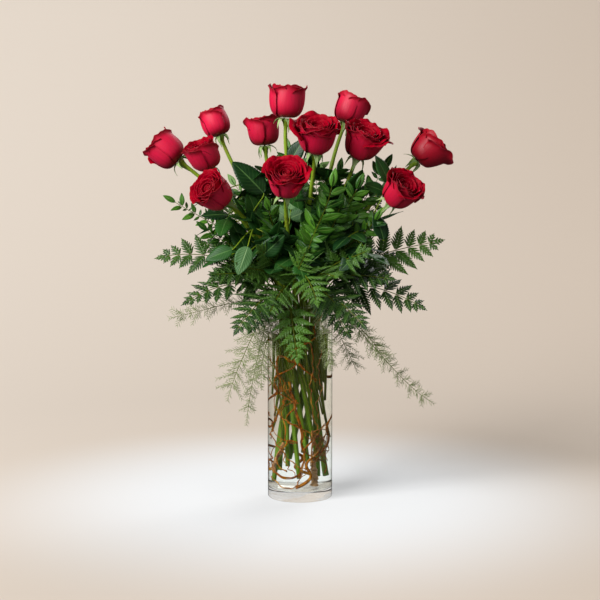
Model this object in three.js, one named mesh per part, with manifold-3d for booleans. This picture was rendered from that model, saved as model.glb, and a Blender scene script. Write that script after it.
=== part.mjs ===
// A dozen long-stemmed red roses arranged with florist's greens in a tall cylinder vase of clear glass.
// Millimetres, +Z up. The origin is the centre of the vase's flat foot, on the surface that it stands on.
// The front of the arrangement faces -Y. Angles round the vase are compass degrees, from +X towards +Y.
//
// In the glass stand twelve rose stems that lean across it in one spiral, so that none crosses another,
// the stalks of the greens in a wider spiral round them, and curly willow twigs in the gap by the glass.
import * as THREE from 'three';
import { mergeVertices } from 'three/addons/utils/BufferGeometryUtils.js';
import Module from 'manifold-3d';

const wasm = await Module();
wasm.setup();

// ---------------------------------------------------------------- driving dimensions
const VASE = { height: 300, radius: 50, wall: 3.8, floor: 15, edge: 1.2, sides: 32 };
const WATER_TOP = 256;
const GAP = 0.35; // left between neighbours that touch on the real thing
const BLADE = 0.9; // thickness of leaves, leaflets and flat stalks
const PETAL = 0.9;

const ROSE_STEM = { radius: 3.2, sides: 5, mouthRing: 24, lowRing: 32, low: 20, twist: 100 };
const STALK = { width: 2.2, mouthRing: 34, lowRing: 36, low: 80, twist: 90 };
const BLOOM_MIDDLE = 25; // from the seat of a bloom on its stem to its middle

const COLOURS = {
  glass: { color: 0xdfe9e6, roughness: 0.05, metalness: 0 },
  water: { color: 0xd5e3e0, roughness: 0.05, metalness: 0 },
  petal: { color: 0xa80d22, roughness: 0.6, metalness: 0 },
  stem: { color: 0x4f7a2c, roughness: 0.5, metalness: 0 },
  fern: { color: 0x2c6424, roughness: 0.45, metalness: 0 },
  spray: { color: 0x2f5a20, roughness: 0.45, metalness: 0 },
  feather: { color: 0x6c8f58, roughness: 0.6, metalness: 0 },
  willow: { color: 0x8a4a1c, roughness: 0.7, metalness: 0 },
};

// ---------------------------------------------------------------- the plan of the arrangement
// Each rose: where the middle of its bloom is, how far it leans and to which side, how open it is from
// 0, a bud, to 1, its size, its slot in the mouth of the vase, and how high above the table its foot ends.
const ROSES = [
  { name: 'rose_01', at: [-204, 10, 534], lean: 52, to: 178, open: 0.35, size: 0.95, slot: 170, foot: 34 },
  { name: 'rose_02', at: [-134, 85, 579], lean: 22, to: 165, open: 0.2, size: 0.84, slot: 140, foot: 52 },
  { name: 'rose_03', at: [-144, -25, 526], lean: 28, to: 215, open: 0.35, size: 0.86, slot: 200, foot: 60 },
  { name: 'rose_04', at: [-125, -85, 471], lean: 58, to: 222, open: 0.7, size: 0.93, slot: 230, foot: 88 },
  { name: 'rose_05', at: [-57, 60, 565], lean: 6, to: 160, open: 0.45, size: 0.88, slot: 110, foot: 44 },
  { name: 'rose_06', at: [-20, 10, 608], lean: 3, to: 0, open: 0.3, size: 0.97, slot: 80, foot: 24 },
  { name: 'rose_07', at: [-20, -95, 490], lean: 40, to: 272, open: 0.95, size: 0.98, slot: 260, foot: 72 },
  { name: 'rose_08', at: [25, -45, 555], lean: 28, to: 280, open: 0.85, size: 1.03, slot: 290, foot: 30 },
  { name: 'rose_09', at: [79, 85, 599], lean: 22, to: 20, open: 0.35, size: 0.88, slot: 50, foot: 40 },
  { name: 'rose_10', at: [95, -10, 547], lean: 32, to: 305, open: 0.9, size: 1.03, slot: 350, foot: 66 },
  { name: 'rose_11', at: [198, 40, 535], lean: 47, to: 5, open: 0.4, size: 0.94, slot: 20, foot: 56 },
  { name: 'rose_12', at: [147, -70, 473], lean: 50, to: 312, open: 0.85, size: 0.93, slot: 320, foot: 28 },
];

// Rose leaves: which stem bears them, how far up from the mouth (0) to the bloom (1), the compass
// direction that they point in, their climb in degrees, their length and their pairs of leaflets.
const ROSE_LEAVES = [
  { on: 'rose_02', up: 0.56, to: 300, climb: 34, length: 100, pairs: 1 },
  { on: 'rose_06', up: 0.6, to: 225, climb: 26, length: 96, pairs: 1 },
  { on: 'rose_05', up: 0.42, to: 250, climb: 20, length: 96, pairs: 1 },
  { on: 'rose_04', up: 0.5, to: 165, climb: 10, length: 94, pairs: 1 },
  { on: 'rose_04', up: 0.28, to: 262, climb: 14, length: 92, pairs: 1 },
  { on: 'rose_03', up: 0.4, to: 195, climb: -4, length: 100, pairs: 2 },
  { on: 'rose_01', up: 0.42, to: 150, climb: 12, length: 92, pairs: 1 },
  { on: 'rose_07', up: 0.46, to: 205, climb: 26, length: 94, pairs: 1 },
  { on: 'rose_07', up: 0.22, to: 305, climb: 14, length: 90, pairs: 1 },
  { on: 'rose_08', up: 0.42, to: 320, climb: 24, length: 94, pairs: 1 },
  { on: 'rose_12', up: 0.62, to: 10, climb: 38, length: 92, pairs: 1 },
  { on: 'rose_12', up: 0.34, to: 330, climb: 4, length: 100, pairs: 2 },
  { on: 'rose_10', up: 0.62, to: 30, climb: 30, length: 90, pairs: 1 },
  { on: 'rose_10', up: 0.3, to: 345, climb: 18, length: 92, pairs: 1 },
  { on: 'rose_09', up: 0.46, to: 80, climb: 14, length: 100, pairs: 2 },
  { on: 'rose_11', up: 0.42, to: 60, climb: 8, length: 92, pairs: 1 },
  { on: 'rose_05', up: 0.6, to: 110, climb: 20, length: 94, pairs: 1 },
  { on: 'rose_09', up: 0.66, to: 290, climb: 28, length: 88, pairs: 1 },
];

// Greens. Each has the place of its tip, the way that its tip points, the way that its upper side
// faces, its slot in the mouth of the vase, the height of its foot, and how far it rises before it bends.
// Leatherleaf fern also has its half width, and the share of its curve that is bare of leaflets.
const FERNS = [
  {
    name: 'fern_01', tip: [-212, -6, 372], end: [-0.96, 0, -0.25], face: [-0.2, -0.8, 0.6],
    slot: 184, foot: 120, rise: 66, half: 60, bare: 0.32,
  },
  {
    name: 'fern_02', tip: [-168, -72, 310], end: [-0.85, -0.3, -0.6], face: [-0.4, -0.6, 0.7],
    slot: 206, foot: 150, rise: 56, half: 54, bare: 0.32,
  },
  {
    name: 'fern_03', tip: [-92, -112, 272], end: [-0.5, -0.4, -0.8], face: [-0.3, -0.9, 0.4],
    slot: 236, foot: 100, rise: 50, half: 48, bare: 0.34,
  },
  {
    name: 'fern_04', tip: [-4, -84, 226], end: [0.1, -0.1, -0.99], face: [0, -1, 0.2],
    slot: 247, foot: 170, rise: 36, half: 40, bare: 0.38,
  },
  {
    name: 'fern_05', tip: [24, -128, 316], end: [0.15, -0.6, -0.8], face: [0.1, -0.9, 0.5],
    slot: 272, foot: 130, rise: 96, half: 50, bare: 0.34,
  },
  {
    name: 'fern_06', tip: [92, -116, 280], end: [0.6, -0.5, -0.7], face: [0.3, -0.8, 0.5],
    slot: 296, foot: 90, rise: 58, half: 50, bare: 0.34,
  },
  {
    name: 'fern_07', tip: [182, -44, 300], end: [0.84, -0.2, -0.55], face: [0.2, -0.8, 0.6],
    slot: 333, foot: 160, rise: 60, half: 56, bare: 0.3,
  },
  {
    name: 'fern_08', tip: [212, 6, 396], end: [0.97, 0, 0.2], face: [0.1, -0.9, 0.4],
    slot: 3, foot: 110, rise: 70, half: 62, bare: 0.34,
  },
  {
    name: 'fern_09', tip: [138, 122, 322], end: [0.6, 0.6, -0.5], face: [0.5, 0.5, 0.7],
    slot: 39, foot: 140, rise: 58, half: 54, bare: 0.32,
  },
  {
    name: 'fern_10', tip: [8, 170, 316], end: [0.05, 0.8, -0.6], face: [0, 0.8, 0.6],
    slot: 86, foot: 125, rise: 60, half: 54, bare: 0.32,
  },
  {
    name: 'fern_11', tip: [-138, 124, 318], end: [-0.62, 0.6, -0.5], face: [-0.5, 0.5, 0.7],
    slot: 137, foot: 95, rise: 58, half: 54, bare: 0.32,
  },
  {
    name: 'fern_12', tip: [-126, 36, 452], end: [-0.7, 0.1, 0.7], face: [-0.2, -0.9, 0.3],
    slot: 160, foot: 145, rise: 92, half: 50, bare: 0.34,
  },
  {
    name: 'fern_13', tip: [124, 52, 456], end: [0.7, 0.2, 0.7], face: [0.2, -0.9, 0.3],
    slot: 27, foot: 115, rise: 92, half: 50, bare: 0.34,
  },
  {
    name: 'fern_14', tip: [-10, 116, 470], end: [-0.1, 0.5, 0.86], face: [0, 0.9, -0.2],
    slot: 112, foot: 135, rise: 100, half: 50, bare: 0.34,
  },
  {
    name: 'fern_15', tip: [8, -112, 388], end: [0.2, -0.5, 0.85], face: [0, -0.95, 0.3],
    slot: 259, foot: 165, rise: 50, half: 44, bare: 0.24,
  },
  {
    name: 'fern_16', tip: [-88, -106, 368], end: [-0.6, -0.5, 0.4], face: [-0.2, -0.9, 0.4],
    slot: 226, foot: 125, rise: 74, half: 46, bare: 0.3,
  },
  {
    name: 'fern_17', tip: [98, -98, 388], end: [0.6, -0.5, 0.4], face: [0.2, -0.9, 0.4],
    slot: 320, foot: 155, rise: 76, half: 48, bare: 0.3,
  },
];

// Leafy sprays have small leaves in pairs: the length of a leaf, and how many pairs.
const SPRAYS = [
  {
    name: 'spray_01', tip: [-188, -22, 456], end: [-0.8, -0.1, 0.5], face: [-0.2, -0.8, 0.6],
    slot: 172, foot: 150, rise: 90, leaf: 24, pairs: 7,
  },
  {
    name: 'spray_02', tip: [46, -96, 480], end: [0.2, 0, 0.98], face: [0, -1, 0.2],
    slot: 284, foot: 110, rise: 100, leaf: 32, pairs: 6,
  },
  {
    name: 'spray_03', tip: [128, 10, 506], end: [0.5, 0, 0.86], face: [0.2, -0.9, 0.3],
    slot: 15, foot: 165, rise: 110, leaf: 30, pairs: 6,
  },
  {
    name: 'spray_04', tip: [-18, 56, 530], end: [-0.1, 0.1, 0.97], face: [-0.2, -0.9, 0.3],
    slot: 99, foot: 140, rise: 120, leaf: 28, pairs: 7,
  },
  {
    name: 'spray_05', tip: [28, 104, 516], end: [0.1, 0.5, 0.86], face: [0.2, 0.9, 0.3],
    slot: 66, foot: 100, rise: 110, leaf: 28, pairs: 7,
  },
  {
    name: 'spray_06', tip: [-104, 116, 480], end: [-0.5, 0.5, 0.7], face: [-0.3, 0.8, 0.5],
    slot: 149, foot: 120, rise: 100, leaf: 28, pairs: 6,
  },
  {
    name: 'spray_07', tip: [84, -52, 476], end: [0.4, -0.1, 0.9], face: [0.1, -0.9, 0.4],
    slot: 308, foot: 135, rise: 96, leaf: 30, pairs: 6,
  },
];

// Asparagus fern: feathery sprigs that trail over the rim, with their half width.
const FEATHERS = [
  {
    name: 'feather_01', tip: [-76, -34, 136], end: [-0.12, 0, -1], face: [-0.3, -0.9, 0.2],
    slot: 196, foot: 170, rise: 40, half: 36, pairs: 8,
  },
  {
    name: 'feather_02', tip: [197, -6, 152], end: [0.8, 0, -0.5], face: [0.2, -0.9, 0.4],
    slot: 347, foot: 150, rise: 44, half: 20, pairs: 8,
  },
  {
    name: 'feather_03', tip: [-184, -50, 286], end: [-1, -0.1, -0.2], face: [0, -0.9, 0.4],
    slot: 216, foot: 180, rise: 30, half: 22, pairs: 6,
  },
];

// Curly willow: each twig keeps to its own shell between the stems and the glass.
const WILLOWS = [
  {
    name: 'willow_01', ring: 42.6, from: 262, turn: 250, low: 22,
    waves: 5, sway: 15, radius: 2.1, stations: 20,
  },
  {
    name: 'willow_02', ring: 42.6, from: 70, turn: 250, low: 26,
    waves: 6, sway: 13, radius: 1.8, stations: 20,
  },
  {
    name: 'willow_03', ring: 38.6, from: 330, turn: -200, low: 40,
    waves: 5, sway: 18, radius: 1.1, stations: 18,
  },
];
const WILLOW_TOP = 286;
const WILLOW_SIDES = 4;

// ---------------------------------------------------------------- vectors, curves and solids
const vec = (x, y, z) => new THREE.Vector3(x, y, z);
const UP = vec(0, 0, 1);
const rad = THREE.MathUtils.degToRad;
const mix = THREE.MathUtils.lerp;

// The point at a height, a radius and a compass angle round the vase.
function polar(radius, degrees, z) {
  return vec(radius * Math.cos(rad(degrees)), radius * Math.sin(rad(degrees)), z);
}

// The point at the end of a walk from a start: pairs of a vector and how far to go along it.
function step(start, ...legs) {
  const end = start.clone();
  for (const [along, distance] of legs) end.addScaledVector(along, distance);
  return end;
}

// The part of a vector that is square to another, with length 1.
const squareTo = (vector, along) => step(vector, [along, -vector.dot(along)]).normalize();

// A repeatable irregularity between -1 and 1 for each seed.
function vary(seed) {
  const wave = Math.sin(seed * 12.9898 + 78.233) * 43758.5453;
  return 2 * (wave - Math.floor(wave)) - 1;
}

// A closed solid from a geometry with its vertices merged.
function solid(geometry) {
  geometry.deleteAttribute('normal');
  geometry.deleteAttribute('uv');
  const merged = mergeVertices(geometry, 1e-4);
  const vertProperties = Float32Array.from(merged.attributes.position.array);
  const triVerts = Uint32Array.from(merged.index.array);
  return new wasm.Manifold(new wasm.Mesh({ numProp: 3, vertProperties, triVerts }));
}

function solidOf(positions, index) {
  const geometry = new THREE.BufferGeometry();
  geometry.setAttribute('position', new THREE.Float32BufferAttribute(positions, 3));
  geometry.setIndex(index);
  return solid(geometry);
}

// A closed lathe from pairs of radius and height that start and end on the axis.
function turned(profile, sides) {
  const points = profile.map(([radius, height]) => new THREE.Vector2(radius, height));
  return solid(new THREE.LatheGeometry(points, sides).rotateX(Math.PI / 2));
}

// A thin sheet: every point has an upper and a lower vertex, faces are laid on both sides alike, and
// the rim between them is closed where border() runs, with the sheet on its left.
class Sheet {
  constructor(thickness) {
    this.half = thickness / 2;
    this.positions = [];
    this.index = [];
  }

  point(place, normal) {
    for (const side of [this.half, -this.half]) this.positions.push(...step(place, [normal, side]));
    return this.positions.length / 6 - 1;
  }

  face(a, b, c) {
    this.index.push(2 * a, 2 * b, 2 * c, 2 * c + 1, 2 * b + 1, 2 * a + 1);
  }

  quad(a, b, c, d) {
    this.face(a, b, c);
    this.face(a, c, d);
  }

  border(...line) {
    for (let i = 0; i + 1 < line.length; i++) {
      const [a, b] = [2 * line[i], 2 * line[i + 1]];
      this.index.push(a, a + 1, b + 1, a, b + 1, b);
    }
  }

  // A leaf that grows from the edge between two points: ladders of points up both its edges to a tip.
  flap(rootStart, rootEnd, { near, far, tip, normal }) {
    const up = near.map((place) => this.point(place, normal));
    const down = far.map((place) => this.point(place, normal));
    const end = this.point(tip, normal);
    let [a, b] = [rootStart, rootEnd];
    up.forEach((next, i) => {
      this.quad(a, b, down[i], next);
      [a, b] = [next, down[i]];
    });
    this.face(a, b, end);
    this.border(rootEnd, ...down, end, ...up.reverse(), rootStart);
  }

  solid() {
    return solidOf(this.positions, this.index);
  }
}

// The triangles between two rows of points, counted along the low row and then along the high one. The
// row that lags behind moves on first.
function lacing(lowCount, highCount) {
  const triangles = [];
  let [i, j] = [0, 0];
  while (i < lowCount - 1 || j < highCount - 1) {
    if (j * (lowCount - 1) <= i * (highCount - 1)) {
      triangles.push([i, lowCount + j + 1, lowCount + j]);
      j += 1;
    } else {
      triangles.push([i, i + 1, lowCount + j]);
      i += 1;
    }
  }
  return triangles;
}

// A fin in place of a four-sided opening. It has rows of points on its outer and its inner face, with
// both faces split alike, and ends in a rim or in a tip.
function grow(positions, index, opening, { rows, tip }) {
  const put = (place) => positions.push(...place) / 3 - 1;
  let outer = [opening[0], opening[1]];
  let inner = [opening[3], opening[2]];
  for (const row of rows) {
    const [outerOn, innerOn] = [row.outer.map(put), row.inner.map(put)];
    const [front, back] = [[...outer, ...outerOn], [...inner, ...innerOn]];
    for (const [a, b, c] of lacing(outer.length, outerOn.length)) {
      index.push(front[a], front[b], front[c], back[c], back[b], back[a]);
    }
    index.push(inner[0], outer[0], outerOn[0], inner[0], outerOn[0], innerOn[0]);
    const [o, i, oOn, iOn] = [outer, inner, outerOn, innerOn].map((line) => line.at(-1));
    index.push(o, i, iOn, o, iOn, oOn);
    [outer, inner] = [outerOn, innerOn];
  }
  if (tip) {
    const loop = [...outer, ...inner.reverse()];
    const end = put(tip);
    loop.forEach((point, k) => index.push(point, loop[(k + 1) % loop.length], end));
  } else {
    for (let k = 0; k + 1 < outer.length; k++) {
      index.push(outer[k], outer[k + 1], inner[k + 1], outer[k], inner[k + 1], inner[k]);
    }
  }
}

// A closed body laid up from rings of as many points each, with flat ends. finAt gives what grows out
// of a side of a band between two rings, or null for a plain side.
function stack(rings, finAt = () => null) {
  const sides = rings[0].length;
  const positions = rings.flat().flatMap((place) => [...place]);
  const index = [];
  const last = (rings.length - 1) * sides;
  for (let k = 0; k < sides; k++) {
    const next = (k + 1) % sides;
    for (let band = 0; band + 1 < rings.length; band++) {
      const [a, b] = [band * sides + k, band * sides + next];
      const fin = finAt(band, k);
      if (fin) grow(positions, index, [a, b, b + sides, a + sides], fin);
      else index.push(a, b, b + sides, a, b + sides, a + sides);
    }
    if (k > 0 && next > 0) index.push(0, next, k, last, last + k, last + next);
  }
  return solidOf(positions, index);
}

// A round stem through the points, with a radius at each, carried along without twisting from the
// direction across.
function rod(points, radii, sides, across, finAt) {
  let side = across;
  const rings = points.map((point, i) => {
    const [before, after] = [points[i - 1] ?? point, points[i + 1] ?? point];
    const along = after.clone().sub(before).normalize();
    side = squareTo(side, along);
    const other = along.clone().cross(side);
    return Array.from({ length: sides }, (_, k) => {
      const turn = (2 * Math.PI * k) / sides;
      return step(point, [side, radii[i] * Math.cos(turn)], [other, radii[i] * Math.sin(turn)]);
    });
  });
  return stack(rings, finAt);
}

// ---------------------------------------------------------------- nodes, and what room they leave
const group = new THREE.Group();
const placed = new Map(); // the body of each node, or of its bare rib until its leaves are on

function add(name, body, look) {
  const made = body.getMesh();
  const vertices = new Float32Array(made.numVert * 3);
  for (let i = 0; i < made.numVert; i++) {
    vertices.set(made.vertProperties.subarray(i * made.numProp, i * made.numProp + 3), i * 3);
  }
  const geometry = new THREE.BufferGeometry();
  geometry.setAttribute('position', new THREE.BufferAttribute(vertices, 3));
  geometry.setIndex(new THREE.BufferAttribute(made.triVerts, 1));
  geometry.computeVertexNormals();
  const mesh = new THREE.Mesh(geometry, new THREE.MeshStandardMaterial(look));
  mesh.name = name;
  group.add(mesh);
  placed.set(name, body);
}

// Whether a body keeps its distance from all that is there, apart from the node that it belongs to.
function clear(body, own) {
  const box = body.boundingBox();
  for (const [name, other] of placed) {
    const there = other.boundingBox();
    const apart = [0, 1, 2].some((i) => box.min[i] > there.max[i] + GAP || there.min[i] > box.max[i] + GAP);
    if (name !== own && !apart && body.minGap(other, 2 * GAP) < GAP) return false;
  }
  return true;
}

// ---------------------------------------------------------------- vase
// Clear glass cylinder with a thick floor and rounded edges.
function vase() {
  const { height, radius, wall, floor, edge, sides } = VASE;
  const inner = radius - wall;
  return turned([
    [0, 0], [radius - 3 * edge, 0], [radius, 3 * edge], [radius, height - edge], [radius - wall / 2, height],
    [inner, height - edge], [inner, floor + 2 * edge], [inner - 2 * edge, floor], [0, floor],
  ], sides);
}

// ---------------------------------------------------------------- stems and stalks
// All of one kind lie on the same spiral in the vase: a straight line from the mouth at its slot down
// to a lower ring, cut off at its own foot. Above the mouth it goes on along one smooth curve.
function route(kind, slot, foot, end, rise, arrive, reach) {
  const mouth = polar(kind.mouthRing, slot, VASE.height);
  const low = polar(kind.lowRing, slot + kind.twist, kind.low);
  const start = low.clone().lerp(mouth, (foot - kind.low) / (VASE.height - kind.low));
  const leave = mouth.clone().sub(low).normalize();
  const bend = [step(mouth, [leave, rise]), step(end, [arrive, -reach])];
  return { start, leave, mouth, curve: new THREE.CubicBezierCurve3(mouth, ...bend, end) };
}

// The hole that a straight stem needs in the water, from a little under its foot to above the surface.
function hole({ start, leave, mouth }, radius, sides) {
  const room = (radius + GAP) / Math.cos(Math.PI / sides);
  return rod([step(start, [leave, -GAP]), mouth], [room, room], sides, vec(1, 0, 0));
}

// ---------------------------------------------------------------- blooms
// The frame of a bloom: its seat on the stem, its axis, and a direction across the axis.
function bloomFrame(rose, index) {
  const { lean, to, size } = rose;
  const axis = vec(Math.sin(rad(lean)), 0, Math.cos(rad(lean))).applyAxisAngle(UP, rad(to));
  const turn = new THREE.Quaternion().setFromUnitVectors(UP, axis);
  turn.multiply(new THREE.Quaternion().setFromAxisAngle(UP, rad(137.5 * index)));
  const seat = step(vec(...rose.at), [axis, -BLOOM_MIDDLE * size]);
  const matrix = new THREE.Matrix4().compose(seat, turn, vec(size, size, size));
  return { seat, axis, across: vec(1, 0, 0).applyQuaternion(turn), matrix };
}

// The cup that the petals of one layer lie in: rank runs from 0, the heart, to 1, the outermost layer.
// The corners of a Bezier curve, as pairs of radius and height above the seat.
function cup(rank, open) {
  const lip = mix(4, 25.5 + 7 * open, rank);
  const belly = mix(7, 27.5, rank);
  const top = 50 - open * 5 * rank * rank;
  return [[3 + 3 * rank, 1.2], [1.08 * belly, 1 - 2 * rank], [1.04 * belly, 0.56 * top], [lip, top]];
}

function bezier(corners, t) {
  const weights = [(1 - t) ** 3, 3 * t * (1 - t) ** 2, 3 * t * t * (1 - t), t ** 3];
  return [0, 1].map((i) => corners.reduce((sum, corner, k) => sum + weights[k] * corner[i], 0));
}

// A point of a petal: u runs across it from -1 to 1 and v up it from 0 to 1. One side of the petal lies
// inside its neighbour and the other side outside, and its rim is rounded off at the corners.
function petalPoint({ corners, bearing, spread, ramp }, u, v) {
  const [radius, height] = bezier(corners, v);
  const width = spread * (0.72 + 0.28 * Math.sin(Math.PI * Math.min(1, 1.15 * v)));
  const drop = 0.1 * height * v * v * u ** 4;
  return polar(radius + ramp * u, bearing + width * u, height - drop);
}

// The faces of a petal at some heights up it, from 0 to 1.
function petal(shape, columns, heights) {
  const nudge = 1e-3;
  const rows = heights.map((v) => {
    const row = { outer: [], inner: [] };
    for (let column = 0; column <= columns; column++) {
      const u = (2 * column) / columns - 1;
      const place = petalPoint(shape, u, v);
      const acrossWay = petalPoint(shape, u + nudge, v).sub(petalPoint(shape, u - nudge, v));
      const upWay = petalPoint(shape, u, v).sub(petalPoint(shape, u, v - nudge));
      const out = acrossWay.cross(upWay).normalize();
      row.outer.push(step(place, [out, PETAL / 2]));
      row.inner.push(step(place, [out, -PETAL / 2]));
    }
    return row;
  });
  return { rows };
}

// Layers of petals from the outermost to the innermost: each has a rank, heights up its petals, and how
// far a rose is open before they stand apart from its heart.
const LAYERS = [
  { rank: 1, least: 0, ramp: 1.9, overlap: 1.42, columns: 3, heights: [0.42, 1] },
  { rank: 0.62, least: 0, ramp: 1.6, overlap: 1.25, columns: 2, heights: [0.6, 1] },
  { rank: 0.32, least: 0.5, ramp: 1.2, overlap: 1.15, columns: 2, heights: [1] },
];
// Petals in a layer of an open rose, and of one that is still half closed.
const LAYER_COUNTS = [5, 4];
const HALF_CLOSED = 0.5;

// The heart of the bloom, where the petals are rolled up so tightly that they make one body: radius and
// height of its rings. The layers grow from its lowest bands, out of every other side.
const HEART = [[7.6, 0], [8, 1.4], [8.2, 2.8], [8.4, 4.2], [6.4, 43]];

function bloom(rose) {
  const count = LAYER_COUNTS[rose.open < HALF_CLOSED ? 1 : 0];
  const sides = 2 * count;
  const rings = HEART.map(([radius, height]) =>
    Array.from({ length: sides }, (_, k) => polar(radius, (360 * k) / sides, height)));
  return stack(rings, (band, k) => {
    const layer = LAYERS[band];
    if (!layer || layer.least > rose.open || k % 2 !== band % 2) return null;
    const { rank, ramp, overlap, columns, heights } = layer;
    const corners = cup(rank, rose.open);
    const bearing = (360 * (k + 0.5)) / sides;
    return petal({ corners, bearing, spread: (180 * overlap) / count, ramp }, columns, heights);
  });
}

// ---------------------------------------------------------------- rose stems
// Heights below the seat and radii of the hip that the bloom sits on.
const HIP = [[-GAP, 6.6], [-1.3, 7.2], [-3.1, 7], [-9, 5.4], [-15, 3.6]];

// One of the five sepals that bend back from the hip, each out of one of its sides.
function sepal({ seat, axis, across }, size, k, seed) {
  const out = across.clone().applyAxisAngle(axis, -rad((360 / ROSE_STEM.sides) * (k + 0.5)));
  const wide = axis.clone().cross(out);
  const curl = 1 + 0.5 * vary(seed + k);
  const at = (distance, rise) => step(seat, [out, distance * size], [axis, rise * size]);
  const middle = at(15, -1.5 - 2 * curl);
  const edge = (height) => [3.4, -3.4].map((half) => step(middle, [wide, half], [axis, height]));
  return {
    rows: [{ outer: edge(BLADE / 2), inner: edge(-BLADE / 2) }],
    tip: at(25 - 3 * curl, -4 - 9 * curl),
  };
}

function roseStem(rose, frame, index) {
  const { seat, axis, across } = frame;
  const hipPoints = HIP.map(([height]) => step(seat, [axis, height * rose.size]));
  const hipRadii = HIP.map(([, radius]) => radius * rose.size);
  const end = hipPoints[hipPoints.length - 1];
  const length = end.distanceTo(polar(ROSE_STEM.mouthRing, rose.slot, VASE.height));
  const line = route(ROSE_STEM, rose.slot, rose.foot, end, 0.36 * length, axis, 0.3 * length);
  const points = [...hipPoints, ...[0.82, 0.62, 0.4, 0.2, 0].map((t) => line.curve.getPoint(t)), line.start];
  const radii = points.map((_, i) => hipRadii[i] ?? ROSE_STEM.radius);
  const sepalAt = (band, k) => (band === 1 ? sepal(frame, rose.size, k, 31 * index) : null);
  return { line, body: rod(points, radii, ROSE_STEM.sides, across, sepalAt) };
}

// ---------------------------------------------------------------- leaves on a rib
// A frame on a curve: the point, the way on, the upper side, which looks as near as can be the way that
// face gives, and the way across. Below 0 lies the start of the straight run.
function frameOn({ start, leave, curve }, t, face) {
  const at = t < 0 ? start : curve.getPoint(t);
  const on = t < 0 ? leave : curve.getTangent(t).normalize();
  const up = squareTo(face, on);
  return { at, on, side: up.clone().cross(on), up };
}

// One leaf: way is its direction, wide the side of its near edge, and profile has pairs of distance
// along it and half width, as shares of its length. It droops by its arch towards the tip.
function blade(root, way, wide, hand, { length, profile, arch }) {
  const normal = way.clone().cross(wide).multiplyScalar(hand).normalize();
  const spot = (share, half) =>
    step(root, [way, share * length], [wide, half * length], [normal, -arch * length * share * share]);
  return {
    near: profile.map(([share, half]) => spot(share, half)),
    far: profile.map(([share, half]) => spot(share, -half)),
    tip: spot(1, 0),
    normal,
  };
}

// A leaf off the side of a rib: angle is how far it turns off the rib, climb how far it stands up from
// the rib's plane, and roll how far it turns about itself. hand is 1 on the left and -1 on the right.
function sideLeaf(frame, root, hand, leaf) {
  const { angle, climb, roll } = leaf;
  const out = step(vec(0, 0, 0), [frame.on, Math.cos(rad(angle))], [frame.side, hand * Math.sin(rad(angle))]);
  const way = step(vec(0, 0, 0), [out, Math.cos(rad(climb))], [frame.up, Math.sin(rad(climb))]);
  const wide = squareTo(frame.on.clone().negate(), way).applyAxisAngle(way, rad(roll) * hand);
  return blade(root, way, wide, hand, leaf);
}

const mirrored = (shape) => ({ ...shape, near: shape.far, far: shape.near });
const ribEdge = ({ at, side }, hand, width) => step(at, [side, (hand * width) / 2]);

// A leaf as a body of its own, to try whether there is room for it.
function trial(frame, next, hand, width, shape) {
  const sheet = new Sheet(BLADE);
  const [a, b] = [frame, next].map((f) => sheet.point(ribEdge(f, hand, width), f.up));
  if (hand > 0) {
    sheet.flap(a, b, shape);
    sheet.border(a, b);
  } else {
    sheet.flap(b, a, mirrored(shape));
    sheet.border(b, a);
  }
  return sheet.solid();
}

function endTrial(frame, width, shape) {
  const sheet = new Sheet(BLADE);
  const [a, b] = [1, -1].map((hand) => sheet.point(ribEdge(frame, hand, width), frame.up));
  sheet.flap(a, b, shape);
  sheet.border(a, b);
  return sheet.solid();
}

// The bends that a leaf may take if its own place is taken: more climb, more roll, and a shorter blade.
const BENDS = [
  [0, 0, 1], [18, 0, 1], [-18, 0, 1], [36, 0, 0.92], [-34, 0, 0.92], [10, 30, 0.9], [-10, -30, 0.9],
  [24, 40, 0.78], [-24, -40, 0.78], [54, 0, 0.7], [-50, 0, 0.7], [0, 0, 0.5],
];

// Where a leaf is rooted: the middle of the rib's edge between two frames.
function rootOf(frame, next, hand, width) {
  return ribEdge(frame, hand, width).lerp(ribEdge(next, hand, width), 0.5);
}

// The first bend of a leaf that is clear of other nodes and of the leaf before it, or null.
function fit(frame, next, hand, width, leaf, own, before) {
  const root = rootOf(frame, next, hand, width);
  for (const [climb, roll, share] of BENDS) {
    const bent = { ...leaf, climb: leaf.climb + climb, roll: leaf.roll + roll, length: leaf.length * share };
    const shape = sideLeaf(frame, root, hand, bent);
    const body = trial(frame, next, hand, width, shape);
    const crosses = before && body.intersect(before).volume() > 0.05;
    if (!crosses && clear(body, own)) return { shape, body };
  }
  return null;
}

// A sprig: a flat rib with leaves off both its edges and maybe one at its end, all in one sheet. shapeAt
// gives the leaf on each side of the rib after each frame, or null where there is none.
function sprig(frames, width, shapeAt, endShape = null) {
  const sheet = new Sheet(BLADE);
  const edgePoint = (frame, hand) => sheet.point(ribEdge(frame, hand, width), frame.up);
  const rows = frames.map((frame) => [edgePoint(frame, 1), edgePoint(frame, -1)]);
  sheet.border(rows[0][0], rows[0][1]);
  for (let k = 0; k + 1 < frames.length; k++) {
    const [[left, right], [leftOn, rightOn]] = [rows[k], rows[k + 1]];
    const [onLeft, onRight] = [shapeAt(k, 1), shapeAt(k, -1)];
    sheet.quad(right, rightOn, leftOn, left);
    if (onLeft) sheet.flap(left, leftOn, onLeft);
    else sheet.border(leftOn, left);
    if (onRight) sheet.flap(rightOn, right, mirrored(onRight));
    else sheet.border(right, rightOn);
  }
  const [left, right] = rows.at(-1);
  if (endShape) sheet.flap(left, right, endShape);
  else sheet.border(right, left);
  return sheet.solid();
}

const bareSprig = (frames, width) => sprig(frames, width, () => null);

// ---------------------------------------------------------------- rose leaves
// A petiole with pairs of ovate leaflets and one at its end.
const LEAFLET = { arch: 0.12, profile: [[0.2, 0.25], [0.62, 0.28]] };
const PETIOLE = { width: 2, pairAt: [0.62, 0.34], root: 0.05 };

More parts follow.
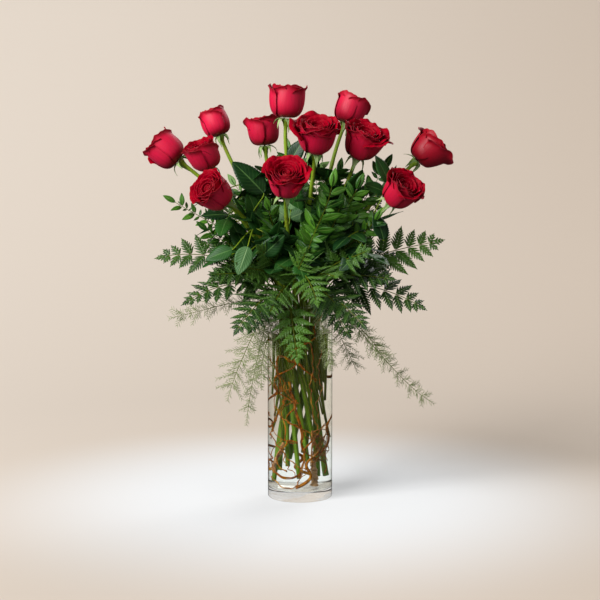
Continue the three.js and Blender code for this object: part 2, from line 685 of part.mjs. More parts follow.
// Turns about the stem and changes of climb that a leaf may take if its own place is taken.
const LEAF_CLIMBS = [0, 14, -14, 28];
const LEAF_TURNS = [0, 15, -15, 30, -30, 50, -50, 75, -75];
const LEAF_PLACES = LEAF_TURNS.flatMap((turn) => LEAF_CLIMBS.map((climb) => ({ turn, climb })));

function roseLeaf(plan, line, index, { turn, climb }) {
  const from = line.curve.getPoint(plan.up);
  const out = polar(1, plan.to + turn, 0);
  const rise = rad(plan.climb + climb);
  const way = step(vec(0, 0, 0), [out, Math.cos(rise)], [UP, Math.sin(rise)]);
  const ribLength = plan.length * (plan.pairs > 1 ? 0.62 : 0.48);
  const end = step(from, [way, ribLength], [UP, -0.1 * ribLength]);
  const curve = new THREE.QuadraticBezierCurve3(from, step(from, [way, 0.5 * ribLength]), end);
  const starts = PETIOLE.pairAt.slice(0, plan.pairs).reverse();
  const stations = [0, ...starts.flatMap((t) => [t, t + PETIOLE.root]), 1];
  const face = step(UP, [out, 0.4]);
  const frames = stations.map((t) => frameOn({ curve }, t, face));
  const length = plan.length * (plan.pairs > 1 ? 0.42 : 0.5);
  const shapeAt = (k, hand) => {
    if (k % 2 === 0) return null;
    const root = rootOf(frames[k], frames[k + 1], hand, PETIOLE.width);
    return sideLeaf(frames[k], root, hand, {
      ...LEAFLET,
      angle: 62,
      climb: 8 + 14 * vary(17 * index + 3 * k + hand),
      roll: 14 * vary(23 * index + 5 * k + hand),
      length: length * (k === 1 && plan.pairs > 1 ? 0.8 : 0.92),
    });
  };
  const tail = frames.at(-1);
  return sprig(frames, PETIOLE.width, shapeAt, blade(tail.at, tail.on, tail.side, 1, { ...LEAFLET, length }));
}

// ---------------------------------------------------------------- greens
// The rib of a green: the first of several courses that clears the ribs already there. Each has a
// change of the rise above the mouth and a shift of the tip to the side.
const EXTRA_RISES = [0, 12, -10, 24, -18, 36];
const TIP_SHIFTS = [0, 10, -10, 20, -20];
const COURSES = TIP_SHIFTS.flatMap((shift) => EXTRA_RISES.map((more) => ({ more, shift })));

const FACED = 0.32; // how far up its curve a green has turned to face its own way

function ribOf(plan, stations) {
  for (const { more, shift } of COURSES) {
    const arrive = vec(...plan.end).normalize();
    const aim = vec(...plan.tip);
    const out = squareTo(vec(aim.x, aim.y, 0), UP);
    const tip = step(aim, [UP.clone().cross(out), shift]);
    const reach = 0.32 * tip.distanceTo(polar(STALK.mouthRing, plan.slot, VASE.height));
    const line = route(STALK, plan.slot, plan.foot, tip, plan.rise + more, arrive, reach);
    const inward = step(line.mouth, [tip, -1]).setZ(0).normalize();
    const face = vec(...plan.face).normalize();
    const faceAt = (t) => inward.clone().lerp(face, THREE.MathUtils.smoothstep(t, 0, FACED));
    const frames = stations.map((t) => frameOn(line, t, faceAt(t)));
    const body = bareSprig(frames, STALK.width);
    if (clear(body, plan.name)) return { line, frames, body };
  }
  throw new Error('no room for the rib of ' + plan.name);
}

const END_SHARES = [1, 0.7, 0.45]; // lengths that the leaf at the end may have

// A green with the leaves that there is room for. leafAt gives each leaf that is wanted.
function leafy({ name }, frames, leafAt, last) {
  const width = STALK.width;
  const before = {};
  const shapeAt = (k, hand) => {
    const wanted = leafAt(k, hand);
    const found = wanted && fit(frames[k], frames[k + 1], hand, width, wanted, name, before[hand]);
    before[hand] = found ? found.body : before[hand];
    return found && found.shape;
  };
  const tail = frames.at(-1);
  const endShape = (share) => blade(tail.at, tail.on, tail.side, 1, { ...last, length: share * last.length });
  const end = END_SHARES.map(endShape).find((shape) => clear(endTrial(tail, width, shape), name));
  return sprig(frames, width, shapeAt, end);
}

// Leatherleaf fern: a broad triangle of toothed leaflets, shorter towards the tip.
const FERN = { pairs: 7, angle: 64, arch: 0.14 };

function fernStations(plan) {
  const leafy = Array.from({ length: FERN.pairs + 1 }, (_, i) => {
    const share = i / FERN.pairs;
    return mix(plan.bare, 0.97, share * (1.25 - 0.25 * share));
  });
  return [-1, 0, 0.4 * plan.bare, 0.75 * plan.bare, ...leafy];
}

function fernLeaf(plan, frames, seed) {
  return (k, hand) => {
    const pair = k - 4;
    if (pair < 0) return null;
    const share = pair / FERN.pairs;
    const angle = FERN.angle - 16 * share;
    const irregular = 1 + 0.07 * vary(seed + 7 * pair + hand);
    const length = plan.half * (1 - 0.86 * share) * (pair > 0 ? 1 : 0.9) * irregular;
    const room = frames[k].at.distanceTo(frames[k + 1].at) * Math.sin(rad(angle));
    const half = (0.48 * room) / length;
    return {
      angle,
      climb: 6 + 7 * vary(seed + 11 * pair + 2 * hand),
      roll: 8 * vary(seed + 13 * pair + 3 * hand),
      length,
      profile: pair < 3 ? [[0.2, half], [0.6, 0.75 * half]] : [[0.35, half]],
      arch: FERN.arch,
    };
  };
}

// Leafy spray: pairs of small pointed leaves.
const SPRAY = { first: 0.34, last: 0.94, root: 3.2, angle: 48, profile: [[0.42, 0.24]], arch: 0.1 };

// Where along a rib its pairs of leaves start.
function pairStarts({ pairs }, { first, last }) {
  return Array.from({ length: pairs }, (_, i) => mix(first, last, i / (pairs - 1)));
}

function sprayStations(plan, length) {
  const starts = pairStarts(plan, SPRAY);
  return [-1, 0, 0.18, ...starts.flatMap((t) => [t, t + SPRAY.root / length]), 1];
}

function sprayLeaf(plan, seed) {
  return (k, hand) => {
    if (k < 3 || k % 2 === 0) return null;
    return {
      angle: SPRAY.angle + 8 * vary(seed + 3 * k + hand),
      climb: 24 * vary(seed + 5 * k + 2 * hand),
      roll: 30 * vary(seed + 7 * k + 3 * hand),
      length: plan.leaf * (1 - 0.03 * Math.abs(k - 7)) * (1 + 0.12 * vary(seed + 9 * k + hand)),
      profile: SPRAY.profile,
      arch: SPRAY.arch,
    };
  };
}

// Asparagus fern: branchlets so close-set with needles that each is one narrow blade.
const FEATHER = { first: 0.3, last: 0.95, root: 2.4, angle: 52, needle: 3.4, arch: 0.1 };

function featherStations(plan, length) {
  const starts = pairStarts(plan, FEATHER);
  return [-1, 0, 0.1, 0.2, ...starts.flatMap((t) => [t, t + FEATHER.root / length]), 1];
}

function featherLeaf(plan, seed) {
  return (k, hand) => {
    if (k < 4 || k % 2) return null;
    const share = (k - 4) / (2 * plan.pairs);
    const length = plan.half * (0.45 + 0.75 * Math.sin(Math.PI * Math.min(1, 0.2 + 0.75 * share)));
    return {
      angle: FEATHER.angle + 10 * vary(seed + 3 * k + hand),
      climb: 16 * vary(seed + 5 * k + 2 * hand),
      roll: 30 * vary(seed + 7 * k + 3 * hand),
      length: Math.min(length, plan.half) * (1 - 0.12 * Math.abs(vary(seed + 9 * k + hand))),
      profile: [[0.35, FEATHER.needle / length]],
      arch: FEATHER.arch,
    };
  };
}

// ---------------------------------------------------------------- willow
function willowPath({ ring, from, turn, low, waves, sway, stations }) {
  return Array.from({ length: stations }, (_, i) => {
    const share = i / (stations - 1);
    const fade = Math.min(1, 8 * (1 - share));
    const bearing = from + turn * share + sway * fade * Math.sin(2 * Math.PI * waves * share);
    return polar(ring, bearing, mix(low, WILLOW_TOP, share));
  });
}

// A twig, or with room round it the hole that it needs in the water.
function willow(plan, room) {
  const points = willowPath(plan);
  const radius = plan.radius + room / Math.cos(Math.PI / WILLOW_SIDES);
  points[0] = step(points[0], [points[0].clone().sub(points[1]).normalize(), room]);
  return rod(points, points.map(() => radius), WILLOW_SIDES, UP);
}

// ---------------------------------------------------------------- water
// It fills the glass up to its surface, less the holes that the stems and twigs stand in.
function water(holes) {
  const inner = VASE.radius - VASE.wall - GAP;
  const floor = VASE.floor + GAP;
  const profile = [[0, floor], [inner - 2 * VASE.edge, floor], [inner, floor + 2 * VASE.edge]];
  const full = turned([...profile, [inner, WATER_TOP], [0, WATER_TOP]], VASE.sides);
  return holes.reduce((body, cutter) => body.subtract(cutter), full);
}

// ---------------------------------------------------------------- putting it together
add('vase', vase(), COLOURS.glass);
const cutters = [];

const stems = new Map();
ROSES.forEach((rose, index) => {
  const frame = bloomFrame(rose, index);
  const stem = roseStem(rose, frame, index);
  stems.set(rose.name, stem);
  placed.set(rose.name + '_stem', stem.body);
  cutters.push(hole(stem.line, ROSE_STEM.radius, 6));
  add(rose.name + '_bloom', bloom(rose).transform(frame.matrix.elements), COLOURS.petal);
});

for (const plan of WILLOWS) {
  add(plan.name, willow(plan, 0), COLOURS.willow);
  cutters.push(willow(plan, GAP));
}

const stationsOf = new Map([
  ...FERNS.map((plan) => [plan, fernStations(plan)]),
  ...SPRAYS.map((plan) => [plan, sprayStations(plan, 260)]),
  ...FEATHERS.map((plan) => [plan, featherStations(plan, 240)]),
]);
const ribs = new Map();
[...stationsOf.keys()].forEach((plan, index) => {
  const rib = ribOf(plan, stationsOf.get(plan));
  ribs.set(plan, { ...rib, seed: 101 * (index + 1) });
  placed.set(plan.name, rib.body);
  cutters.push(hole(rib.line, STALK.width / 2, 4));
});

ROSE_LEAVES.forEach((plan, index) => {
  const stem = stems.get(plan.on);
  const name = plan.on + '_stem';
  for (const place of LEAF_PLACES) {
    const leaf = roseLeaf(plan, stem.line, index, place);
    if (clear(leaf, name)) {
      stem.body = stem.body.add(leaf);
      placed.set(name, stem.body);
      return;
    }
  }
});
for (const [name, stem] of stems) add(name + '_stem', stem.body, COLOURS.stem);

for (const plan of FERNS) {
  const { frames, seed } = ribs.get(plan);
  const last = { length: 0.16 * plan.half, profile: [[0.4, 0.2]], arch: 0 };
  add(plan.name, leafy(plan, frames, fernLeaf(plan, frames, seed), last), COLOURS.fern);
}
for (const plan of SPRAYS) {
  const { frames, seed } = ribs.get(plan);
  const last = { length: plan.leaf, profile: SPRAY.profile, arch: SPRAY.arch };
  add(plan.name, leafy(plan, frames, sprayLeaf(plan, seed), last), COLOURS.spray);
}
for (const plan of FEATHERS) {
  const { frames, seed } = ribs.get(plan);
  const last = { length: 0.5 * plan.half, profile: [[0.35, 0.16]], arch: 0 };
  add(plan.name, leafy(plan, frames, featherLeaf(plan, seed), last), COLOURS.feather);
}
add('water', water(cutters), COLOURS.water);

export default group;
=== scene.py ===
# A dozen long-stemmed red roses with florist's greens in a tall glass cylinder vase, dressed in Blender
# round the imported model. Everything is worked out in millimetres and put down in metres.
import math

import bmesh
import bpy
import numpy as np
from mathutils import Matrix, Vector
from mathutils.kdtree import KDTree


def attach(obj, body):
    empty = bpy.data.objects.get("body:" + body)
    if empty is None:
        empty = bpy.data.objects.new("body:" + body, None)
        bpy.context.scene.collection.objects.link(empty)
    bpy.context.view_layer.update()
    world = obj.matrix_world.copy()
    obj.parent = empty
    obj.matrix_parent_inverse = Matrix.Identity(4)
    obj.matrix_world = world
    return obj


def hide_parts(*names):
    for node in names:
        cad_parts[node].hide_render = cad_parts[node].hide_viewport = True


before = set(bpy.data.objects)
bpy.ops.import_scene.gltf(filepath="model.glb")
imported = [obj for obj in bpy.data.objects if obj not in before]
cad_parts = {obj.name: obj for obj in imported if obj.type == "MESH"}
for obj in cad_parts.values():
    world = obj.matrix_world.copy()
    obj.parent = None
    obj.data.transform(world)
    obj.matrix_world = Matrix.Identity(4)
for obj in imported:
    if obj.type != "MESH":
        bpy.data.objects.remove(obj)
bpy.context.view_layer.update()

# ---------------------------------------------------------------- stage
# The camera stands at the height of the lower leaves and looks a little down. The vase stands on a
# seamless sweep, pale underfoot and warm beige beyond, in the light of a wide soft window at the left.
CAMERA_AT = (0, -1.976, 0.503)
CAMERA_DOWN = 5.7
CAMERA_LENS = 77.46

camera = bpy.data.objects.new("camera", bpy.data.cameras.new("camera"))
camera.data.lens = CAMERA_LENS
camera.data.sensor_width = 36
camera.location = CAMERA_AT
camera.rotation_euler = (math.radians(90 - CAMERA_DOWN), 0, 0)
bpy.context.scene.collection.objects.link(camera)
bpy.context.scene.camera = camera
bpy.context.scene.view_settings.view_transform = "Standard"


class Wire:
    """What a material's node gives out. It adds and multiplies as a number does."""

    def __init__(self, finish, socket):
        self.finish = finish
        self.socket = socket

    def maths(self, operation, *values):
        return self.finish.node("Math", {"operation": operation}, dict(enumerate((self, *values))))

    def __add__(self, other):
        return self.maths("ADD", other)

    def __sub__(self, other):
        return self.maths("SUBTRACT", other)

    def __rsub__(self, other):
        return self.maths("MULTIPLY", -1) + other

    def __mul__(self, other):
        return self.maths("MULTIPLY", other)

    __radd__ = __add__
    __rmul__ = __mul__

    def sine(self):
        return self.maths("SINE")

    def size(self):
        return self.maths("ABSOLUTE")

    def between(self, low, high):
        """A mask that runs smoothly from 0 at low to 1 at high."""
        settings = {"interpolation_type": "SMOOTHSTEP"}
        return self.finish.node("MapRange", settings, {"Value": self, "From Min": low, "From Max": high})


class Finish:
    """A material, built up from nodes round one Principled shader."""

    def __init__(self, name, **sockets):
        self.material = bpy.data.materials.new(name)
        self.material.use_nodes = True
        self.tree = self.material.node_tree
        self.shader = self.tree.nodes["Principled BSDF"]
        self.paint(**sockets)

    def feed(self, node, sockets):
        """Links wires to a node's sockets and sets the rest."""
        for name, value in sockets.items():
            if isinstance(value, Wire):
                self.tree.links.new(value.socket, node.inputs[name])
            else:
                node.inputs[name].default_value = value

    def node(self, kind, settings=None, sockets=None, out=0):
        """Adds a node. Its settings come before its sockets, because some of them change those."""
        node = self.tree.nodes.new("ShaderNode" + kind)
        for name, value in (settings or {}).items():
            setattr(node, name, value)
        self.feed(node, sockets or {})
        return Wire(self, node.outputs[out])

    def paint(self, **sockets):
        """Sets or links the shader's own sockets."""
        self.feed(self.shader, {name.replace("_", " "): value for name, value in sockets.items()})

    def mark(self, name):
        """A number that each point of the mesh carries."""
        return self.node("Attribute", {"attribute_name": name}, out="Fac")

    def place(self, x=1, y=1, z=1):
        """The place on the object, in metres, stretched by a scale along each axis."""
        place = self.node("TexCoord", out="Object")
        return self.node("Mapping", {}, {"Vector": place, "Scale": (x, y, z)})

    def apart(self, vector):
        """The three numbers of a vector."""
        return [self.node("SeparateXYZ", {}, {0: vector}, out=k) for k in range(3)]

    def noise(self, where, scale, detail=3):
        return self.node("TexNoise", {}, {"Vector": where, "Scale": scale, "Detail": detail})

    def blend(self, mask, low, high):
        """The colour that runs from low to high as the mask runs from 0 to 1."""
        return self.node("Mix", {"data_type": "RGBA"}, {0: mask, 6: low, 7: high}, out=2)

    def bump(self, height, depth):
        return self.node("Bump", {}, {"Height": height, "Strength": 1.0, "Distance": depth})

    def let_light_through(self, share):
        """Lets the light that falls on what stands behind a clear piece through it, as glass does."""
        shadow = self.node("LightPath", out="Is Shadow Ray")
        diffuse = self.node("LightPath", out="Is Diffuse Ray")
        clear = self.node("BsdfTransparent", {}, {"Color": (share, share, share, 1)})
        mixed = self.node("MixShader", {}, {
            0: shadow.maths("MAXIMUM", diffuse), 1: Wire(self, self.shader.outputs[0]), 2: clear})
        self.tree.links.new(mixed.socket, self.tree.nodes["Material Output"].inputs["Surface"])


def rgb(red, green, blue):
    """A colour given as it shows on a screen, from 0 to 255, as light."""
    return tuple((value / 255) ** 2.2 for value in (red, green, blue)) + (1.0,)


class Piece:
    """Gathers the points and faces of one piece, in millimetres, with marks on its points."""

    def __init__(self, *marks):
        self.points = []
        self.faces = []
        self.marks = {mark: [] for mark in marks}
        self.count = 0

    def grid(self, points, ring=False, **marks):
        """Rows of points laid with four-sided faces. A ring closes each row on itself."""
        rows, columns = points.shape[:2]
        index = np.arange(rows * columns).reshape(rows, columns) + self.count
        if ring:
            index = np.hstack([index, index[:, :1]])
        corners = [index[:-1, :-1], index[:-1, 1:], index[1:, 1:], index[1:, :-1]]
        self.faces.append(np.stack(corners, -1).reshape(-1, 4))
        self.points.append(points.reshape(-1, 3))
        for mark, values in self.marks.items():
            values.append(np.broadcast_to(marks[mark], (rows, columns)).ravel())
        self.count += rows * columns

    def make(self, name, finishes, thick=0.0, weld=False):
        """The finished object. A sheet is made solid with its second finish underneath."""
        mesh = bpy.data.meshes.new(name)
        points = np.concatenate(self.points) / 1000
        mesh.from_pydata(points.tolist(), [], np.concatenate(self.faces).tolist())
        for mark, values in self.marks.items():
            layer = mesh.attributes.new(mark, "FLOAT", "POINT")
            layer.data.foreach_set("value", np.concatenate(values).astype(np.float32))
        for finish in finishes:
            mesh.materials.append(finish.material)
        if weld:
            body = bmesh.new()
            body.from_mesh(mesh)
            bmesh.ops.remove_doubles(body, verts=body.verts, dist=2e-6)
            bmesh.ops.recalc_face_normals(body, faces=body.faces)
            body.to_mesh(mesh)
            body.free()
        mesh.shade_smooth()
        piece = bpy.data.objects.new(name, mesh)
        bpy.context.scene.collection.objects.link(piece)
        if thick:
            solid = piece.modifiers.new("thickness", "SOLIDIFY")
            solid.thickness = thick / 1000
            solid.offset = 0
            solid.material_offset = len(finishes) - 1
        return piece


def turned(profile, sides, support=0.5):
    """The rows of points of a lathe, from pairs of radius and height. Close beside both ends of a long
    straight run it gets one more row, so that the run shades as straight."""
    rows = [np.array(profile[0], float)]
    for point in np.array(profile[1:], float):
        run = np.linalg.norm(point - rows[-1])
        if run > 6 * support:
            start = rows[-1]
            rows += [start + (point - start) * share for share in (support / run, 1 - support / run)]
        rows.append(point)
    turn = np.linspace(0, math.tau, sides, endpoint=False)
    radius, height = np.array(rows).T[:, :, None]
    return np.stack([radius * np.cos(turn), radius * np.sin(turn), height + 0 * turn], -1)


def sweep_profile():
    """Flat round the middle, then up one wide curve till it stands upright."""
    flat, bend, top = 900, 2700, 3600
    curve = [(flat + bend * math.sin(a), bend - bend * math.cos(a))
             for a in np.linspace(0, math.pi / 2, 121)]
    return [(1, 0), (300, 0), (600, 0), *curve, (flat + bend, top)]


# Its small emission is painted light, a glow that lifts the shadows on the paper.
paper = Finish("paper_sweep", Roughness=0.92, Specular_IOR_Level=0.2, Emission_Strength=0.22)
place = paper.place()
spread = paper.node("VectorMath", {"operation": "LENGTH"}, {0: place}, out="Value")
speck = paper.noise(place, 900)
beige = paper.blend(speck, rgb(214, 202, 189), rgb(218, 206, 193))
across, _, height = paper.apart(place)
# Painted shade: the beige is painted darker towards the right and lower down, where the window's light
# falls off.
painted_shade = (across - 0.35 * height).between(-2.0, 2.3)
beige = paper.blend(painted_shade, beige, rgb(184, 168, 152))
shade = paper.blend(spread.between(0.16, 0.6), rgb(229, 230, 231), beige)
# Painted light: the paper glows a little of itself, which softens the shadows on it, and its own colour is
# darker by as much.
paper.paint(Base_Color=paper.blend(0.22, shade, rgb(0, 0, 0)), Emission_Color=shade)
sweep = Piece()
sweep.grid(turned(sweep_profile(), 192), ring=True)
sweep = sweep.make("paper_sweep", [paper], weld=True)
sweep.visible_shadow = False  # the windows stand beyond it
sweep.visible_diffuse = False  # it stands so far off that no light comes back from it
sweep.visible_glossy = False

# Soft windows, all turned to the middle of the bunch: name, where, width and height in metres, and watts.
BUNCH_MIDDLE = (0, 0, 0.36)
WINDOWS = [
    ("key_window", (-4.6, -4.0, 3.7), (4.8, 4.8), 890),
    ("fill_window", (4.6, -3.6, 2.2), (3.4, 3.4), 30),
    ("back_window", (2.8, 4.2, 3.8), (4.0, 3.4), 150),
]
for name, where, (width, height), watts in WINDOWS:
    light = bpy.data.lights.new(name, "AREA")
    light.shape = "RECTANGLE"
    light.size, light.size_y, light.energy = width, height, watts
    window = bpy.data.objects.new(name, light)
    window.location = where
    towards = Vector(BUNCH_MIDDLE) - Vector(where)
    window.rotation_euler = towards.to_track_quat("-Z", "Y").to_euler()
    window.visible_camera = False
    bpy.context.scene.collection.objects.link(window)

world = bpy.data.worlds.new("soft_daylight")
world.use_nodes = True
daylight = world.node_tree.nodes["Background"].inputs
daylight["Color"].default_value = (1.0, 0.99, 0.97, 1)
daylight["Strength"].default_value = 0.2
world.cycles_visibility.glossy = False  # so that it puts no veil on the glass and the leaves
bpy.context.scene.world = world

# ---------------------------------------------------------------- vase
# A cylinder of clear soda-lime glass, drawn with a straight wall and a thick pressed floor, with the rim
# and the foot fire-polished round. It stands on its flat foot and holds all the rest.
GLASS_HEIGHT = 300
GLASS_RADIUS = 50
GLASS_WALL = 3.8
GLASS_FLOOR = 15
LATHE_SIDES = 128
AXIS = 0.01  # a lathe's profile starts this near its axis


def rounded(corner, before, after, radius, steps=6):
    """Points that take a corner of a profile round instead of sharp."""
    corner, before, after = (np.array(point, float) for point in (corner, before, after))
    start = corner + radius * (before - corner) / np.linalg.norm(before - corner)
    end = corner + radius * (after - corner) / np.linalg.norm(after - corner)
    return [tuple((1 - t) ** 2 * start + 2 * t * (1 - t) * corner + t * t * end)
            for t in np.linspace(0, 1, steps)]


def glass_profile():
    """The line that the glass is turned from, up the outside and down the inside."""
    inner = GLASS_RADIUS - GLASS_WALL
    sharp = [(AXIS, 0), (GLASS_RADIUS, 0), (GLASS_RADIUS, GLASS_HEIGHT),
             (inner, GLASS_HEIGHT), (inner, GLASS_FLOOR), (AXIS, GLASS_FLOOR)]
    rounds = [2.4, 1.6, 1.6, 3.2]  # the foot, the rim outside and inside, and the corner by the floor
    profile = [sharp[0], (GLASS_RADIUS * 0.5, 0)]
    for k, size in enumerate(rounds, 1):
        profile += rounded(sharp[k], sharp[k - 1], sharp[k + 1], size)
    return profile + [sharp[-1]]


def settle(piece, node=None):
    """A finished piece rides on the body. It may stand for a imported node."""
    if node:
        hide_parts(node)
    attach(piece, "root")


glass = Finish("clear_glass", Roughness=0.0, IOR=1.5, Transmission_Weight=1.0,
               Specular_Tint=(0.2, 0.2, 0.2, 1))
ripple = glass.noise(glass.place(1, 1, 0.25), 14, 2)
clear = glass.blend(ripple, rgb(250, 253, 252), rgb(254, 255, 254))
grazing = glass.node("LayerWeight", {}, {"Blend": 0.5}, out="Facing").between(0.7, 1.0)
glass.paint(Base_Color=glass.blend(grazing, clear, rgb(150, 160, 156)))
glass.let_light_through(0.94)
vase = Piece()
vase.grid(turned(glass_profile(), LATHE_SIDES), ring=True)
settle(vase.make("vase", [glass], weld=True), "vase")

# ---------------------------------------------------------------- water
# Tap water fills the glass to three fingers under the rim. It wets the wall, so at its edge it creeps a
# little way up, and no air shows between the two.
WATER_TOP = 256
WATER_RADIUS = 46.3  # a hair more than the glass has inside
CREEP_WIDTH = 3
CREEP_HEIGHT = 1.4

water_wet = Finish("water", Roughness=0.0, IOR=1.333, Transmission_Weight=1.0,
                   Specular_Tint=(0.1, 0.1, 0.1, 1))
cloud = water_wet.noise(water_wet.place(), 20, 2)
water_wet.paint(Base_Color=water_wet.blend(cloud, rgb(253, 254, 250), rgb(254, 255, 252)))
water_wet.let_light_through(0.97)
low = GLASS_FLOOR - 0.1
creep = [(WATER_RADIUS - CREEP_WIDTH + CREEP_WIDTH * t, WATER_TOP + CREEP_HEIGHT * t * t)
         for t in np.linspace(1, 0, 6)]
profile = [(AXIS, low), (WATER_RADIUS - 2, low), (WATER_RADIUS, low + 2), *creep, (AXIS, WATER_TOP)]
water = Piece()
water.grid(turned(profile, LATHE_SIDES), ring=True)
settle(water.make("water", [water_wet], weld=True), "water")

# ---------------------------------------------------------------- rose blooms
# Each bloom is a spiral of velvety petals on a green hip. The outer petals stand as a cup and roll their
# rims outwards to a point. The inner ones wrap ever tighter, and the innermost are coiled to a bud.

# A rose's facts: the place of its bloom, its lean and the compass way of that, how open and how large the
# bloom is, how dark its red is, where its stem passes the mouth of the glass, the height of the stem's
# foot, and the compass way of each petal that it flings out, with how far it is flung, up to 1.
ROSE_FACTS = ("name", "at", "lean", "to", "open", "size", "dark", "slot", "foot", "flung")
ROSES = [dict(zip(ROSE_FACTS, facts)) for facts in (
    ("rose_01", (-204, 10, 534), 52, 178, 0.35, 0.95, 0.1, 170, 34, []),
    ("rose_02", (-134, 85, 579), 22, 165, 0.2, 0.84, 0.0, 140, 52, []),
    ("rose_03", (-144, -25, 526), 28, 215, 0.35, 0.86, 0.3, 200, 60, [(200, 0.25)]),
    ("rose_04", (-125, -85, 471), 58, 222, 0.5, 0.93, 0.25, 230, 88, []),
    ("rose_05", (-57, 60, 565), 6, 160, 0.4, 0.88, 0.35, 110, 44, [(185, 0.2)]),
    ("rose_06", (-20, 10, 608), 3, 0, 0.3, 0.97, 0.2, 80, 24, [(180, 0.1), (0, 0.12)]),
    ("rose_07", (-20, -95, 490), 40, 272, 0.72, 0.98, 0.1, 260, 72, []),
    ("rose_08", (25, -45, 555), 28, 280, 0.65, 1.03, 0.25, 290, 30, [(190, 0.3)]),
    ("rose_09", (79, 85, 599), 22, 20, 0.35, 0.88, 0.25, 50, 40, [(350, 0.2)]),
    ("rose_10", (95, -10, 547), 32, 305, 0.68, 1.03, 0.4, 350, 66, [(345, 0.4)]),
    ("rose_11", (198, 40, 535), 47, 5, 0.48, 0.92, 1.0, 20, 56, [(5, 0.7), (290, 0.6), (90, 0.6)]),
    ("rose_12", (147, -70, 473), 50, 312, 0.68, 0.93, 0.5, 320, 28, []),
)]
BLOOM_MIDDLE = 25  # from the seat of a bloom on its hip to its middle
PETAL_THICK = 0.45
OPEN_ROSE = 0.5  # from here on a bloom shows five petals in each outer layer, and below it four
GOLDEN_TURN = 137.5  # what a plant turns by from one leaf to the next, in degrees

UP = np.array([0.0, 0.0, 1.0])


def vary(seed):
    """A repeatable irregularity between -1 and 1 for each seed."""
    wave = np.sin(seed * 12.9898 + 78.233) * 43758.5453
    return 2 * (wave - np.floor(wave)) - 1


def smooth(low, high, x):
    """A share that runs smoothly from 0 at low to 1 at high."""
    share = np.clip((x - low) / (high - low), 0, 1)
    return share * share * (3 - 2 * share)


def unit(vector):
    """A vector, or each of many, made 1 long."""
    return vector / np.linalg.norm(vector, axis=-1, keepdims=True)


def spun(vector, axis, degrees):
    """A vector turned about an axis of length 1."""
    turn = math.radians(degrees)
    along = axis * np.dot(vector, axis)
    return along + math.cos(turn) * (vector - along) + math.sin(turn) * np.cross(axis, vector)


def polar(radius, degrees, height):
    """Points from a distance off the middle of the vase, a compass way and a height."""
    turn = np.radians(degrees)
    parts = np.broadcast_arrays(radius * np.cos(turn), radius * np.sin(turn), height)
    return np.stack(parts, -1).astype(float)


def bezier(corners, t):
    """Points on a Bezier curve, for one share along it or for many."""
    corners = [np.asarray(corner, float) for corner in corners]
    t = np.asarray(t, float)[..., None]
    while len(corners) > 1:
        corners = [(1 - t) * a + t * b for a, b in zip(corners, corners[1:])]
    return corners[0]


def bloom_frame(rose, index):
    """The seat of a bloom on its hip, its axis, and its three directions as columns."""
    lean = math.radians(rose["lean"])
    axis = spun(np.array([math.sin(lean), 0, math.cos(lean)]), UP, rose["to"])
    hinge = unit(np.cross(UP, axis))
    columns = [spun(spun(side, UP, GOLDEN_TURN * index), hinge, rose["lean"]) for side in np.eye(3)]
    seat = np.array(rose["at"], float) - axis * BLOOM_MIDDLE * rose["size"]
    return seat, axis, np.array(columns).T


def cup(rank, opened):
    """The line that a layer's petals follow, from rank 0, the heart, to 1, the outermost."""
    lip = 4 + (21.5 + 7 * opened) * rank - rank * (3.5 * opened * opened + 5 * smooth(0.5, 0.15, opened))
    belly = 7 + (20.5 - 6 * opened * opened) * rank
    top = 50 - 2 * opened * rank * rank - (2.5 + 11 * opened) * (1 - rank) ** 1.5
    return [(3 + 3 * rank, 1.2), (1.08 * belly, 1 - 2 * rank), (1.04 * belly, 0.56 * top), (lip, top)]


# Layers from the outermost in: rank, how many petals (none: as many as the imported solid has), where the
# first stands as a share of a step, how much they overlap, the slant that tucks one side of each inside
# its neighbour, and rows and columns of points.
PETAL_LAYERS = [
    (1.0, 0, 0.25, 1.42, 1.9, 26, 27),
    (0.83, 0, 0.6, 1.4, 1.8, 24, 25),
    (0.66, 4, 0.1, 1.4, 1.7, 20, 25),
    (0.52, 3, 0.75, 1.4, 1.7, 18, 27),
    (0.4, 3, 0.3, 1.4, 1.5, 16, 25),
    (0.29, 3, 0.8, 1.4, 1.3, 14, 23),
    (0.19, 2, 0.4, 1.35, 1.2, 14, 23),
]


